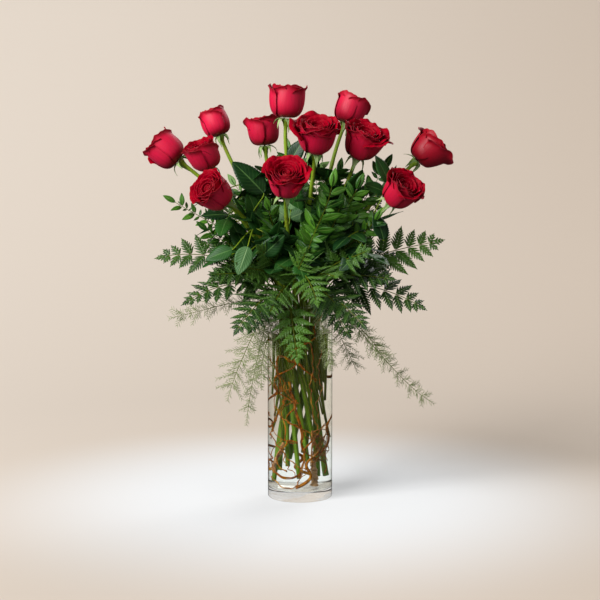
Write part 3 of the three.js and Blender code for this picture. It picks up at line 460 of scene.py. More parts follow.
def petal_points(rose, rank, bearing, spread, ramp, fling, rows, columns, seed):
    """One petal: a curved sheet, broad at the top, whose rim rolls back on both sides of a soft point.
    A petal that is flung out leans and rolls further than its neighbours."""
    opened = rose["open"]
    u = np.linspace(-1, 1, columns)[None, :]
    off = np.abs(u - 0.22 * vary(seed))
    point = rank * (0.04 + 0.05 * fling) * np.exp(-(off / 0.17) ** 2)
    ripple = 0.007 * np.sin(19 * u + 9 * vary(seed + 7))
    reach = 1 - (0.12 + 0.04 * vary(seed + 1)) * off ** 3 + point
    reach = reach + 0.05 * fling + 0.03 * rank * vary(seed + 6) + ripple
    t = 1 - (1 - np.linspace(0, 1, rows)) ** 1.5
    v = t[:, None] * reach
    line = bezier(cup(rank, opened), v)
    # The rim rolls back: the line up the petal turns outwards over its last stretch.
    span = 0.1 + 0.15 * rank * opened + 0.03 * vary(seed + 2) + 0.12 * fling
    roll = 0.35 + rank ** 1.5 * (0.4 + 1.3 * opened * opened) * (1 + 0.5 * vary(seed + 3)) + 0.6 * fling
    bend = roll * (0.55 + 0.45 * smooth(0.0, 0.5, off)) * (1 + 0.3 * vary(seed + 4) * u)
    steps = np.diff(line, axis=0)
    middle = (v[1:] + v[:-1]) / 2
    turn = bend * smooth(reach - span, reach, middle) + 0.55 * fling * smooth(0.15, 0.6, middle)
    outward = steps[..., 0] * np.cos(turn) + steps[..., 1] * np.sin(turn)
    upward = steps[..., 1] * np.cos(turn) - steps[..., 0] * np.sin(turn)
    start = line[:1]
    radius = start[..., 0] + np.concatenate([np.zeros((1, columns)), np.cumsum(outward, 0)])
    height = start[..., 1] + np.concatenate([np.zeros((1, columns)), np.cumsum(upward, 0)])
    width = spread * (0.62 + 0.38 * smooth(0, 0.5, v))
    hug = 1.1 * rank * u * u * smooth(0.1, 0.7, v)
    wave = rank * 0.5 * np.sin(2.6 * u + 3 * vary(seed + 5)) * v ** 3
    lift = 1.1 * vary(seed + 8) * v ** 2 * (1.3 - rank)
    return polar(radius + ramp * u - hug + wave, bearing + width * u, height + lift), u + 0 * v, v / reach


def coil_points(rose, seed):
    """The heart: the innermost petals rolled up as one coil that widens as it unwinds."""
    turns = 2.6
    share = np.linspace(0, 1, 80)[None, :]
    v = np.linspace(0, 1, 12)[:, None]
    opened = rose["open"]
    top = 45.4 - 9.5 * opened + 0.8 * np.sin(9.4 * share + 3 * seed) + 1.4 * share
    radius = (1.0 + 5.0 * share) * (0.92 + 0.2 * np.sin(math.pi * v * 0.9)) + 0.9 * smooth(0.82, 1, v)
    bearing = 360 * turns * share + 60 * seed
    return polar(radius, bearing, 4 + (top - 4) * v), share + 0 * v, v + 0 * share


def petal_finish(name, lit, shade_and_vein, edge, shine, sheen):
    """Velvet: soft sheen and faint veins up the petal, with painted shade: darker towards its foot and on
    the inner layers, where it is tucked in, and painted lighter towards its lit top.
    """
    finish = Finish(name, Specular_IOR_Level=shine, Sheen_Weight=sheen, Sheen_Roughness=0.4,
                    Sheen_Tint=(1.0, 0.2, 0.34, 1), Subsurface_Weight=0.1, Subsurface_Scale=0.002)
    finish.paint(Subsurface_Radius=(1.0, 0.22, 0.18))
    across, along, depth, dark = (finish.mark(mark) for mark in ("across", "along", "depth", "dark"))
    mottle = finish.noise(finish.place(), 140, 4)
    # Painted light and shade: the petal runs from its shade colour at the foot to its lit colour towards
    # the top, and the inner layers and the darker blooms take the shade colour.
    rise = along + 0.18 * (mottle - 0.5)
    body = finish.blend(rise.between(0.02, 0.62), shade_and_vein, lit)
    body = finish.blend((dark * 0.85).maths("MAXIMUM", depth.between(0.75, 0.05)), body, shade_and_vein)
    rim = along.between(0.78, 1.0).maths("MAXIMUM", across.size().between(0.72, 1.0) * 0.35)
    rimmed = finish.blend(rim * 0.8, body, edge)
    up_petal = finish.node("CombineXYZ", {}, {0: across * 9, 1: along * 0.9, 2: depth * 17})
    vein = finish.noise(up_petal, 1.6, 4).between(0.42, 0.72) * along.between(0.0, 0.4)
    finish.paint(Base_Color=finish.blend(vein * 0.22, rimmed, shade_and_vein), Roughness=0.42 + 0.16 * mottle)
    fine = finish.noise(finish.place(), 1500, 2)
    finish.paint(Normal=finish.bump(vein * 0.3 + 0.35 * mottle + 0.3 * fine, 0.0002))
    return finish


# Each finish: its lit colour, the dark red of its painted shade and veins, its edge colour, its specular
# level and its sheen.
petal_back = petal_finish("petal_outside", rgb(212, 26, 66), rgb(130, 2, 24), rgb(150, 4, 28), 0.28, 0.15)
petal_face = petal_finish("petal_inside", rgb(170, 0, 34), rgb(46, 0, 8), rgb(150, 0, 32), 0.05, 0.0)

for index, rose in enumerate(ROSES):
    seat, axis, sides = bloom_frame(rose, index)
    bloom = Piece("across", "along", "depth", "dark")
    for layer, (rank, count, start, overlap, ramp, rows, columns) in enumerate(PETAL_LAYERS):
        count = count or (5 if rose["open"] >= OPEN_ROSE else 4)
        for k in range(count):
            seed = 1000 * index + 100 * layer + 10 * k
            bearing = 360 * (k + start) / count + 6 * vary(seed + 9)
            spread = 180 * overlap / count
            faces = sides @ polar(1.0, bearing, 0)
            thrown = [far * smooth(0.55, 0.95, faces @ polar(1.0, way, 0)) for way, far in rose["flung"]]
            fling = rank ** 4 * max([0.0, *thrown])
            points, u, v = petal_points(rose, rank, bearing, spread, ramp, fling, rows, columns, seed)
            points = seat + rose["size"] * points @ sides.T
            bloom.grid(points, across=u, along=v, depth=rank, dark=rose["dark"])
    points, u, v = coil_points(rose, vary(77 * index))
    points = seat + rose["size"] * points @ sides.T
    bloom.grid(points, across=8 * u, along=v, depth=0.05, dark=rose["dark"])
    node = rose["name"] + "_bloom"
    settle(bloom.make(node, [petal_back, petal_face], thick=PETAL_THICK), node)

# ---------------------------------------------------------------- rose stems
# Each stem is smooth, round and a little knobbly where leaves come off. It ends in the swollen hip, from
# which five sepals with frayed edges bend back. Its leaves are compound: ovate, toothed and glossy.
MOUTH = GLASS_HEIGHT
ROSE_STEM = {"radius": 3.2, "mouth_ring": 24, "low_ring": 32, "low": 20, "twist": 100}
STEM_SIDES = 14
STEM_SETS_OUT = 0.36  # how far a stem keeps its course above the mouth, as a share of its length there
STEM_ARRIVES = 0.3  # and how far it is in line with its bloom before it gets there
HIP_LENGTH = 15
# The hip: heights on the bloom's axis, measured from its seat, and the radius there.
HIP = [(-12.5, 3.7), (-10, 4.2), (-7.5, 5.2), (-5.5, 6.2), (-4, 6.9), (-2.8, 7.2), (-1.8, 7.2), (-1, 6.9)]
LEAF_THICK = 0.35


def route(kind, slot, foot, end, rise, arrive, reach):
    """Where a stem stands in the vase, and the curve that it follows above the mouth."""
    mouth = polar(kind["mouth_ring"], slot, MOUTH)
    low = polar(kind["low_ring"], slot + kind["twist"], kind["low"])
    start = low + (mouth - low) * (foot - kind["low"]) / (MOUTH - kind["low"])
    leave = unit(mouth - low)
    return start, leave, [mouth, mouth + leave * rise, end - arrive * reach, end]


def square_to(vector, along):
    """The part of a vector that is square to another, made 1 long."""
    return unit(vector - along * np.sum(vector * along, -1, keepdims=True))


def heading(corners, t):
    """The direction of a Bezier curve."""
    return unit(bezier(corners, np.minimum(1, t + 1e-4)) - bezier(corners, np.maximum(0, t - 1e-4)))


def tube(points, radii, sides, across=UP):
    """Rings round a line of points, carried along without twisting and closed to a point at both ends."""
    ways = unit(np.gradient(points, axis=0))
    turn = np.linspace(0, math.tau, sides, endpoint=False)
    rings = []
    side = across
    for point, way, radius in zip(points, ways, radii):
        side = square_to(side, way)
        other = np.cross(way, side)
        rings.append(point + radius * (np.cos(turn)[:, None] * side + np.sin(turn)[:, None] * other))
    start, end = np.tile(points[0], (sides, 1)), np.tile(points[-1], (sides, 1))
    return np.array([start + (rings[0] - start) * 1e-3, *rings, end + (rings[-1] - end) * 1e-3])


def thread(piece, points, thick, thin, sides, tone=0.5):
    """Lays a thin round stalk or midrib, thinner towards its tip, along a line of points."""
    radii = np.linspace(thick, thin, len(points))
    piece.grid(tube(points, radii, sides), ring=True, across=0, along=0.5, tone=tone)


def foliage():
    """A piece whose points know where on a leaf they lie, and how light that leaf is."""
    return Piece("across", "along", "tone")


def frame_on(line, t, face):
    """The point, the way on, the side and the upper side of a rib. Below 0 lies the run in the vase."""
    start, leave, corners = line
    point, way = (start, leave) if t < 0 else (bezier(corners, t), heading(corners, t))
    up = square_to(np.asarray(face, float), way)
    return {"at": point, "on": way, "side": np.cross(up, way), "up": up}


class Corners:
    """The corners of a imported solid, to find which of several places a leaf was given in it."""

    near = 0.05  # a corner this close is the one that was meant

    def __init__(self, node):
        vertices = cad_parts[node].data.vertices
        self.tree = KDTree(len(vertices))
        for k, vertex in enumerate(vertices):
            self.tree.insert(vertex.co * 1000, k)
        self.tree.balance()

    def hold(self, *points):
        return all(self.tree.find(point)[2] < self.near for point in points)


BLADE = 0.9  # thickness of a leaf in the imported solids


def leaf_shape(frame_at, root, hand, angle, climb, roll, length, arch):
    """A leaf off the side of a rib: its root, the way it points, the way it faces, its length and arch."""
    angle, climb = math.radians(angle), math.radians(climb)
    out = math.cos(angle) * frame_at["on"] + hand * math.sin(angle) * frame_at["side"]
    way = math.cos(climb) * out + math.sin(climb) * frame_at["up"]
    wide = spun(square_to(-frame_at["on"], way), way, roll * hand)
    normal = unit(np.cross(way, wide) * hand)
    return {"root": root, "way": way, "normal": normal, "length": length, "arch": arch}


def end_shape(frame_at, length, arch):
    """The leaf at the end of a rib, which runs straight on."""
    normal = unit(np.cross(frame_at["on"], frame_at["side"]))
    return {"root": frame_at["at"], "way": frame_at["on"], "normal": normal, "length": length, "arch": arch}


def tip_corners(shape):
    """The two corners at the tip of a packed leaf."""
    tip = shape["root"] + shape["length"] * (shape["way"] - shape["arch"] * shape["normal"])
    return [tip + side * BLADE / 2 * shape["normal"] for side in (1, -1)]


def pairs_at(starts, width):
    """Where along a rib the near and the far edge of each leaf's root lie."""
    return [t for at in starts for t in (at, at + width)]


def rib_edge(frame_at, hand, width):
    """A point on a rib's edge, to one hand or the other."""
    return frame_at["at"] + frame_at["side"] * hand * width / 2


def root_of(frame_at, frame_next, hand, width):
    """The middle of a leaf's root, which lies along the rib's edge."""
    return (rib_edge(frame_at, hand, width) + rib_edge(frame_next, hand, width)) / 2


def spread_blade(piece, shape, half, rows, columns, seed, teeth=0, tooth=0.0, fold=0.0, wave=0.0,
                 sink=0.0, tone=None):
    """Lays a leaf's blade: half gives its half width along it as a share of its length. Its edge has teeth
    that point forwards, it folds up along its midrib, and it waves and sinks towards its edges."""
    s = np.linspace(0, 1, rows)[:, None]
    q = np.linspace(-1, 1, columns)[None, :]
    edge = np.abs(q)
    saw = (s * teeth) % 1 if teeth else 0
    width = half(s) * (1 + tooth * (saw - 0.5) * edge ** 4)
    forward = 0.5 * tooth * half(s) * saw * edge ** 4 * (s < 0.97)
    ripple = wave * np.sin(7 * s + 4 * seed + 1.5 * q) * edge ** 2
    rise = fold * half(s) * edge - sink * half(s) * edge ** 2 + ripple
    droop = -shape["arch"] * s * s
    steps = [s + forward + 0 * q, width * q, droop + rise]
    ways = [shape["way"], np.cross(shape["way"], shape["normal"]), shape["normal"]]
    offset = sum(step[..., None] * way for step, way in zip(steps, ways))
    tone = 0.5 + 0.5 * vary(seed + 17) if tone is None else tone
    piece.grid(shape["root"] + shape["length"] * offset, across=q, along=s, tone=tone)


def leaflet_half(s):
    """A rose leaflet is ovate, broadest below its middle and drawn out to a point."""
    return 0.335 * np.sin(math.pi * np.clip(s, 0, 1) ** 0.78) ** 0.72 * (1 - 0.22 * s) + 0.004


def leaf_finish(name, dark, light, vein, gloss, veins, tilt, depth):
    """A leaf's skin: a pale midrib with side veins that tilt forwards, and a green that varies by leaf."""
    finish = Finish(name, Specular_IOR_Level=0.22, Coat_Weight=gloss, Coat_Roughness=0.32)
    across, along, tone = (finish.mark(mark) for mark in ("across", "along", "tone"))
    mottle = finish.noise(finish.place(), 90, 4)
    body = finish.blend((tone * 0.75 + 0.5 * (mottle - 0.25)).between(0.05, 0.95), dark, light)
    off = across.size()
    midrib = off.between(0.09, 0.02)
    course = ((along * veins - off * tilt) * math.tau).sine()
    side_vein = course.between(0.82, 1.0) * off.between(1.0, 0.5)
    lines = midrib * 0.7 + side_vein * 0.2
    finish.paint(Base_Color=finish.blend(lines, body, vein), Roughness=0.36 + 0.25 * mottle)
    swell = course * off.between(0.0, 0.3) * 0.5
    fine = finish.noise(finish.place(), 1400, 2)
    finish.paint(Normal=finish.bump(-0.5 * swell - 0.8 * midrib + 0.25 * fine, depth))
    return finish


leaf_top = leaf_finish("rose_leaf_upper", rgb(14, 46, 20), rgb(42, 84, 32), rgb(84, 122, 62),
                       gloss=0.15, veins=9, tilt=2.6, depth=0.0003)
leaf_under = leaf_finish("rose_leaf_under", rgb(60, 96, 54), rgb(94, 130, 78), rgb(124, 154, 100),
                         gloss=0.0, veins=9, tilt=2.6, depth=0.0004)
sepal_skin = leaf_finish("sepal", rgb(112, 142, 78), rgb(158, 182, 120), rgb(176, 196, 140),
                         gloss=0.0, veins=7, tilt=1.6, depth=0.0003)

bark = Finish("rose_stem_skin", Specular_IOR_Level=0.14, Coat_Roughness=0.35)
grown = bark.mark("along")
streak = bark.noise(bark.place(60, 60, 9), 9, 4)
patch = bark.noise(bark.place(), 24, 3)
green = bark.blend(streak, rgb(92, 124, 22), rgb(146, 172, 48))
aged = bark.blend(patch.between(0.5, 0.78) * 0.6, green, rgb(122, 96, 34))
aged = bark.blend(grown.between(0.93, 1.0), aged, rgb(150, 178, 112))
aged = bark.blend(grown.between(0.36, 0.1) * 0.8, aged, rgb(84, 116, 24))
bark.paint(Base_Color=aged, Roughness=0.42 + 0.2 * patch, Coat_Weight=grown.between(0.4, 0.5) * 0.25)
bark.paint(Normal=bark.bump(streak + 0.3 * patch, 0.0003))

# Rose leaves: the stem that bears each, how far up it, the compass way it points, its climb, length and
# pairs of leaflets.
ROSE_LEAVES = [
    ("rose_02", 0.56, 300, 34, 100, 1), ("rose_06", 0.6, 225, 26, 96, 1), ("rose_05", 0.42, 250, 20, 96, 1),
    ("rose_04", 0.5, 165, 10, 94, 1), ("rose_04", 0.28, 262, 14, 92, 1), ("rose_03", 0.4, 195, -4, 100, 2),
    ("rose_01", 0.42, 150, 12, 92, 1), ("rose_07", 0.46, 205, 26, 94, 1), ("rose_07", 0.22, 305, 14, 90, 1),
    ("rose_08", 0.42, 320, 24, 94, 1), ("rose_12", 0.62, 10, 38, 92, 1), ("rose_12", 0.34, 330, 4, 100, 2),
    ("rose_10", 0.62, 30, 30, 90, 1), ("rose_10", 0.3, 345, 18, 92, 1), ("rose_09", 0.46, 80, 14, 100, 2),
    ("rose_11", 0.42, 60, 8, 92, 1), ("rose_05", 0.6, 110, 20, 94, 1), ("rose_09", 0.66, 290, 28, 88, 1),
]
LEAFLET_ARCH = 0.12
PETIOLE = 2.0
# How far a packed leaf was turned and raised, in degrees, in turn until it found room.
LEAF_PLACES = [(turn, climb) for turn in (0, 15, -15, 30, -30, 50, -50, 75, -75)
               for climb in (0, 14, -14, 28)]


def rose_leaf(plan, line, index, turn, climb, outward=0.4):
    """The curve of a leaf's stalk and the shapes of its leaflets, the one at its end last. Outward is how
    far their upper sides lean away from the stem."""
    _, up_stem, to, rise, size, pairs = plan
    start = bezier(line[2], up_stem)
    out = polar(1, to + turn, 0)
    rise = math.radians(rise + climb)
    way = out * math.cos(rise) + UP * math.sin(rise)
    reach = size * (0.62 if pairs > 1 else 0.48)
    stalk = [start, start + way * 0.5 * reach, start + way * reach - UP * 0.1 * reach]
    starts = [0.62] if pairs == 1 else [0.34, 0.62]
    stations = [0, *pairs_at(starts, 0.05), 1]
    frames = [frame_on((None, None, stalk), t, UP + outward * out) for t in stations]
    length = size * (0.42 if pairs > 1 else 0.5)
    shapes = []
    for k in range(1, 2 * pairs, 2):
        for hand in (1, -1):
            root = root_of(frames[k], frames[k + 1], hand, PETIOLE)
            shapes.append(leaf_shape(
                frames[k], root, hand, 62, 8 + 14 * vary(17 * index + 3 * k + hand),
                14 * vary(23 * index + 5 * k + hand),
                length * (0.8 if k == 1 and pairs > 1 else 0.92), LEAFLET_ARCH))
    shapes.append(end_shape(frames[-1], length, LEAFLET_ARCH))
    return stalk, shapes


def sepal_points(seat, axis, across, size, k, seed):
    """A sepal: a narrow blade that leaves the hip, bends back or hangs, and curls, with a frayed edge."""
    out = spun(across, axis, -72 * (k + 0.5))
    wide = np.cross(axis, out)
    curl = 1 + 0.5 * vary(seed + k)
    hang = smooth(-0.5, 0.5, vary(seed + 7 * k + 3))
    course = [(5.5, -1.8), (13 - 1.5 * hang, 0.6 - curl - 2 * hang),
              (19 - 7 * hang, -2 - 3 * curl - 9 * hang),
              (25 - 3 * curl - 11 * hang, -4 - 9 * curl - 10 * hang)]
    line = [seat + size * (out * x + axis * z) for x, z in course]
    t = np.linspace(0, 1, 16)[:, None]
    q = np.linspace(-1, 1, 5)[None, :]
    middle = bezier(line, t[:, 0])[:, None, :]
    half = size * (5.0 * (1 - t) ** 1.05 * (1 + 0.1 * np.sin(26 * t + seed)) + 0.3)
    up = square_to(axis, heading(line, t[:, 0]))[:, None, :]
    rise = 0.35 * half * q ** 2 + 0.6 * np.sin(5 * t + seed) * t
    return middle + (half * q)[..., None] * wide + rise[..., None] * up, q, t


def on_leaf(shape, share, rise=0.0):
    """A point on a leaf's midrib, a share of the way along it, or a little above it."""
    length = shape["length"]
    droop = shape["normal"] * shape["arch"] * length * share ** 2
    return shape["root"] + shape["way"] * length * share - droop + shape["normal"] * rise


BLOOM_ROOM = 42  # no more leaf comes nearer than this to the middle of a bloom
BLOOM_SIGHT = 38  # or than this to the line of sight to it


def in_the_way(spots):
    """Whether any of the points lies in the glass, beside a bloom, or before one as seen from the front."""
    for spot in spots:
        if spot[2] < MOUTH + 6:
            return True
        for rose in ROSES:
            off = spot - np.array(rose["at"], float)
            before = off[1] < 0 and math.hypot(off[0], off[2]) < BLOOM_SIGHT
            if before or np.linalg.norm(off) < BLOOM_ROOM:
                return True
    return False


# Where more leaves come off a stem, as shares of its length. They are too close-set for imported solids.
MORE_LEAVES = (0.14, 0.24, 0.33, 0.43, 0.53, 0.63, 0.72)


def swelling(t, nodes):
    """How much thicker a stem is at its nodes."""
    return 1 + sum(0.16 * np.exp(-((t - at) / 0.012) ** 2) for at in nodes)


stem_lines = {}
for index, rose in enumerate(ROSES):
    node = rose["name"] + "_stem"
    seat, axis, sides = bloom_frame(rose, index)
    size = rose["size"]
    end = seat - HIP_LENGTH * size * axis
    length = np.linalg.norm(end - polar(ROSE_STEM["mouth_ring"], rose["slot"], MOUTH))
    line = route(ROSE_STEM, rose["slot"], rose["foot"], end, STEM_SETS_OUT * length, axis,
                 STEM_ARRIVES * length)
    stem_lines[rose["name"]] = line
    plans = [(k, plan) for k, plan in enumerate(ROSE_LEAVES) if plan[0] == rose["name"]]
    bare_nodes = [0.12 + 0.05 * vary(index), 0.8 + 0.06 * vary(index + 5)]
    nodes = [plan[1] for _, plan in plans] + bare_nodes
    t = np.linspace(0, 1, 70)
    straight = line[0] + (line[2][0] - line[0]) * np.linspace(0, 1, 16)[:-1, None]
    hip = [seat + axis * height * size for height, _ in HIP]
    hip_radii = [radius * size for _, radius in HIP]
    points = np.concatenate([straight, bezier(line[2], t), hip])
    slim = ROSE_STEM["radius"] * (1 - 0.1 * t) * swelling(t, nodes)
    radii = np.concatenate([np.full(len(straight), ROSE_STEM["radius"]), slim, hip_radii])
    stem = foliage()
    rings = tube(points, radii, STEM_SIDES, sides[:, 0])
    stem.grid(rings, ring=True, across=0, along=np.linspace(0, 1, len(rings))[:, None], tone=0.5)
    settle(stem.make(node, [bark], weld=True), node)

    sepals = foliage()
    for k in range(5):
        sepal, q, s = sepal_points(seat, axis, sides[:, 0], size, k, 31 * index)
        sepals.grid(sepal, across=q, along=s, tone=0.5 + 0.5 * vary(index + k))
    settle(sepals.make(rose["name"] + "_sepals", [sepal_skin], thick=LEAF_THICK))

    leaves = foliage()
    stalks = foliage()
    corners = Corners(node)
    for k, plan in plans:
        for turn, climb in LEAF_PLACES:
            stalk, shapes = rose_leaf(plan, line, k, turn, climb)
            if corners.hold(*tip_corners(shapes[-1])):
                break
        else:
            continue
        thread(stalks, bezier(stalk, np.linspace(0, 1, 14)), 1.15, 0.6, 8)
        for j, shape in enumerate(shapes):
            spread_blade(leaves, shape, leaflet_half, 45, 7, 13.0 * k + j, teeth=11, tooth=0.16,
                         fold=0.16, wave=0.012, sink=0.14)
    for step, up_stem in enumerate(MORE_LEAVES):
        seed = 41 * index + 7 * step
        # Every other one climbs, and the rest hang.
        rise = 58 + 14 * vary(seed) if step % 2 else -22 + 20 * vary(seed)
        plan = (rose["name"], up_stem, GOLDEN_TURN * step + 77 * index, rise, 90 + 14 * vary(seed + 1), 1)
        stalk, shapes = rose_leaf(plan, line, seed, 0, 0, outward=3.0)
        if in_the_way([on_leaf(shape, share) for shape in shapes for share in (0.5, 1)]):
            continue
        thread(stalks, bezier(stalk, np.linspace(0, 1, 12)), 1.0, 0.6, 6)
        for j, shape in enumerate(shapes):
            spread_blade(leaves, shape, leaflet_half, 37, 5, 5.0 * seed + j, teeth=9, tooth=0.16,
                         fold=0.16, wave=0.016, sink=0.14)
    settle(leaves.make(rose["name"] + "_leaves", [leaf_top, leaf_under], thick=LEAF_THICK))
    settle(stalks.make(rose["name"] + "_leaf_stalks", [bark], weld=True))

# Large leaflets that stand out at the front and the right: root, tip and whether the pale side shows.
FRONT_LEAVES = [
    ((-55, -24, 470), (-98, -34, 518), 0), ((-56, -40, 407), (-74, -36, 475), 0),
    ((-80, -55, 384), (-103, -52, 437), 0), ((-100, -80, 388), (-139, -86, 376), 0),
    ((-76, -104, 394), (-90, -116, 355), 1), ((-55, -80, 380), (-23, -92, 409), 0),
    ((94, -64, 388), (58, -84, 359), 0), ((125, -50, 401), (114, -40, 443), 0),
    ((134, -20, 485), (117, -25, 528), 0), ((126, -30, 473), (98, -44, 485), 0),
    ((-15, 0, 517), (5, -5, 553), 0),
]


def nearest_stem(spot):
    """The point nearest to a spot on any of the rose stems above the mouth."""
    points = np.concatenate([bezier(line[2], np.linspace(0.05, 0.8, 60)) for line in stem_lines.values()])
    return points[np.argmin(np.linalg.norm(points + 12 * UP - spot, axis=1))]


leaves = foliage()
stalks = foliage()
for k, (root, tip, pale) in enumerate(FRONT_LEAVES):
    root, tip = np.array(root, float), np.array(tip, float)
    way = unit(tip - root)
    face = (1 - 2 * pale) * np.array([0.35 + 0.35 * vary(k), -0.7, 0.6 + 0.4 * vary(3 * k)])
    shape = {"root": root, "way": way, "normal": square_to(face, way), "length": np.linalg.norm(tip - root),
             "arch": LEAFLET_ARCH * (1 - 2 * pale)}
    spread_blade(leaves, shape, leaflet_half, 65, 9, 3.0 * k, teeth=16, tooth=0.07, fold=0.22,
                 wave=0.02, sink=0.16)
    start = nearest_stem(root)
    stalk = [start, start + 0.4 * (root - start) + 6 * UP, root - way * 6, root]
    thread(stalks, bezier(stalk, np.linspace(0, 1, 14)), 1.2, 0.7, 8)
settle(leaves.make("front_leaves", [leaf_top, leaf_under], thick=LEAF_THICK))
settle(stalks.make("front_leaf_stalks", [bark], weld=True))

# ---------------------------------------------------------------- leatherleaf fern
# Fronds of leatherleaf fern: leathery, dark and twice divided. Each has a grooved wiry stalk and a broad
# triangle of leaflets, which are cut in turn into small toothed lobes. They make the collar at the rim.

# A frond's facts: the place of its tip, the way it points there, the way its upper side faces, where its
# stalk passes the mouth of the glass, the height of the stalk's foot, how far the stalk goes straight on
# above the mouth, the length of its lowest leaflets, and the share of the stalk that is bare.
FERNS = [
    ("fern_01", (-212, -6, 372), (-0.96, 0, -0.25), (-0.2, -0.8, 0.6), 184, 120, 66, 60, 0.32),
    ("fern_02", (-168, -72, 310), (-0.85, -0.3, -0.6), (-0.4, -0.6, 0.7), 206, 150, 56, 54, 0.32),
    ("fern_03", (-92, -112, 272), (-0.5, -0.4, -0.8), (-0.3, -0.9, 0.4), 236, 100, 50, 48, 0.34),
    ("fern_04", (-4, -84, 226), (0.1, -0.1, -0.99), (0, -1, 0.2), 247, 170, 36, 40, 0.38),
    ("fern_05", (24, -128, 316), (0.15, -0.6, -0.8), (0.1, -0.9, 0.5), 272, 130, 96, 50, 0.34),
    ("fern_06", (92, -116, 280), (0.6, -0.5, -0.7), (0.3, -0.8, 0.5), 296, 90, 58, 50, 0.34),
    ("fern_07", (182, -44, 300), (0.84, -0.2, -0.55), (0.2, -0.8, 0.6), 333, 160, 60, 56, 0.3),
    ("fern_08", (212, 6, 396), (0.97, 0, 0.2), (0.1, -0.9, 0.4), 3, 110, 70, 62, 0.34),
    ("fern_09", (138, 122, 322), (0.6, 0.6, -0.5), (0.5, 0.5, 0.7), 39, 140, 58, 54, 0.32),
    ("fern_10", (8, 170, 316), (0.05, 0.8, -0.6), (0, 0.8, 0.6), 86, 125, 60, 54, 0.32),
    ("fern_11", (-138, 124, 318), (-0.62, 0.6, -0.5), (-0.5, 0.5, 0.7), 137, 95, 58, 54, 0.32),
    ("fern_12", (-126, 36, 452), (-0.7, 0.1, 0.7), (-0.2, -0.9, 0.3), 160, 145, 92, 50, 0.34),
    ("fern_13", (124, 52, 456), (0.7, 0.2, 0.7), (0.2, -0.9, 0.3), 27, 115, 92, 50, 0.34),
    ("fern_14", (-10, 116, 470), (-0.1, 0.5, 0.86), (0, 0.9, -0.2), 112, 135, 100, 50, 0.34),
    ("fern_15", (8, -112, 388), (0.2, -0.5, 0.85), (0, -0.95, 0.3), 259, 165, 50, 44, 0.24),
    ("fern_16", (-88, -106, 368), (-0.6, -0.5, 0.4), (-0.2, -0.9, 0.4), 226, 125, 74, 46, 0.3),
    ("fern_17", (98, -98, 388), (0.6, -0.5, 0.4), (0.2, -0.9, 0.4), 320, 155, 76, 48, 0.3),
]
STALK_WIDTH = 2.2
STALK = {"mouth_ring": 34, "low_ring": 36, "low": 80, "twist": 90}
OUTER_STALK = {"mouth_ring": 32, "low_ring": 34, "low": 80, "twist": 30}  # close inside the glass
# Shorter fronds that fill the middle of the bunch. They are too many and too close-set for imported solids.
MORE_FERNS = [
    ("fill_a", (-60, -96, 392), (-0.4, -0.6, 0.5), (-0.2, -0.9, 0.4), 240, 196, 60, 46, 0.34),
    ("fill_b", (52, -104, 350), (0.4, -0.8, -0.1), (0.2, -0.8, 0.6), 290, 168, 60, 46, 0.34),
    ("fill_c", (-128, -58, 350), (-0.9, -0.3, 0), (-0.2, -0.8, 0.6), 205, 150, 60, 50, 0.32),
    ("fill_d", (134, -66, 344), (0.9, -0.3, -0.1), (0.2, -0.8, 0.6), 325, 180, 60, 50, 0.32),
    ("fill_e", (-44, -92, 296), (-0.3, -0.6, -0.7), (-0.1, -0.9, 0.4), 258, 210, 66, 42, 0.34),
    ("fill_f", (58, -96, 300), (0.4, -0.6, -0.7), (0.1, -0.9, 0.4), 276, 186, 66, 42, 0.34),
    ("fill_g", (-150, 40, 392), (-0.9, 0.2, 0.3), (-0.3, -0.6, 0.7), 165, 172, 60, 50, 0.32),
    ("fill_h", (152, 34, 372), (0.9, 0.2, 0.2), (0.3, -0.6, 0.7), 20, 148, 60, 50, 0.32),
    ("fill_i", (70, 128, 350), (0.4, 0.8, 0), (0.2, 0.7, 0.7), 60, 190, 60, 50, 0.32),
    ("fill_j", (-64, 132, 356), (-0.4, 0.8, 0), (-0.2, 0.7, 0.7), 120, 165, 60, 50, 0.32),
    ("fill_m", (72, -78, 262), (0.5, -0.5, -0.8), (0.2, -0.9, 0.4), 308, 200, 60, 40, 0.34),
    ("fill_n", (-74, -70, 268), (-0.5, -0.5, -0.8), (-0.2, -0.9, 0.4), 226, 205, 60, 40, 0.34),
    ("fill_l", (66, 86, 430), (0.3, 0.5, 0.8), (0.1, 0.9, 0.3), 45, 176, 80, 46, 0.38),
]
# How light a frond's green is painted where it stands out, from 0, painted shade for a frond deep in the
# collar, to 1.3, the lightest.
FROND_SHADE_AND_TONES = {
    "fern_02": 0.2, "fern_03": 0.15, "fern_04": 1.3, "fern_06": 0.2, "fern_07": 0.2, "fern_15": 0.8,
    "fill_c": 0.3, "fill_d": 0.15, "fill_f": 0.15, "fill_m": 0.1, "fill_n": 0.1,
}
FACED = 0.32  # how far along its stalk above the mouth a frond has turned to face its way
# What a packed stalk was tried with in turn until it found room: its tip further to the side, and more
# height straight on above the mouth.
COURSES = [(shift, more) for shift in (0, 10, -10, 20, -20) for more in (0, 12, -10, 24, -18, 36)]
# The same for its leaves: more climb, more roll, and a share of the length.
BENDS = [
    (0, 0, 1), (18, 0, 1), (-18, 0, 1), (36, 0, 0.92), (-34, 0, 0.92), (10, 30, 0.9), (-10, -30, 0.9),
    (24, 40, 0.78), (-24, -40, 0.78), (54, 0, 0.7), (-50, 0, 0.7), (0, 0, 0.5),
]
FERN_PAIRS = 7
FERN_ARCH = 0.14
LOBE_SPACING = 4.4
SHORTEST_LOBE = 2.2
FERN_THICK = 0.3


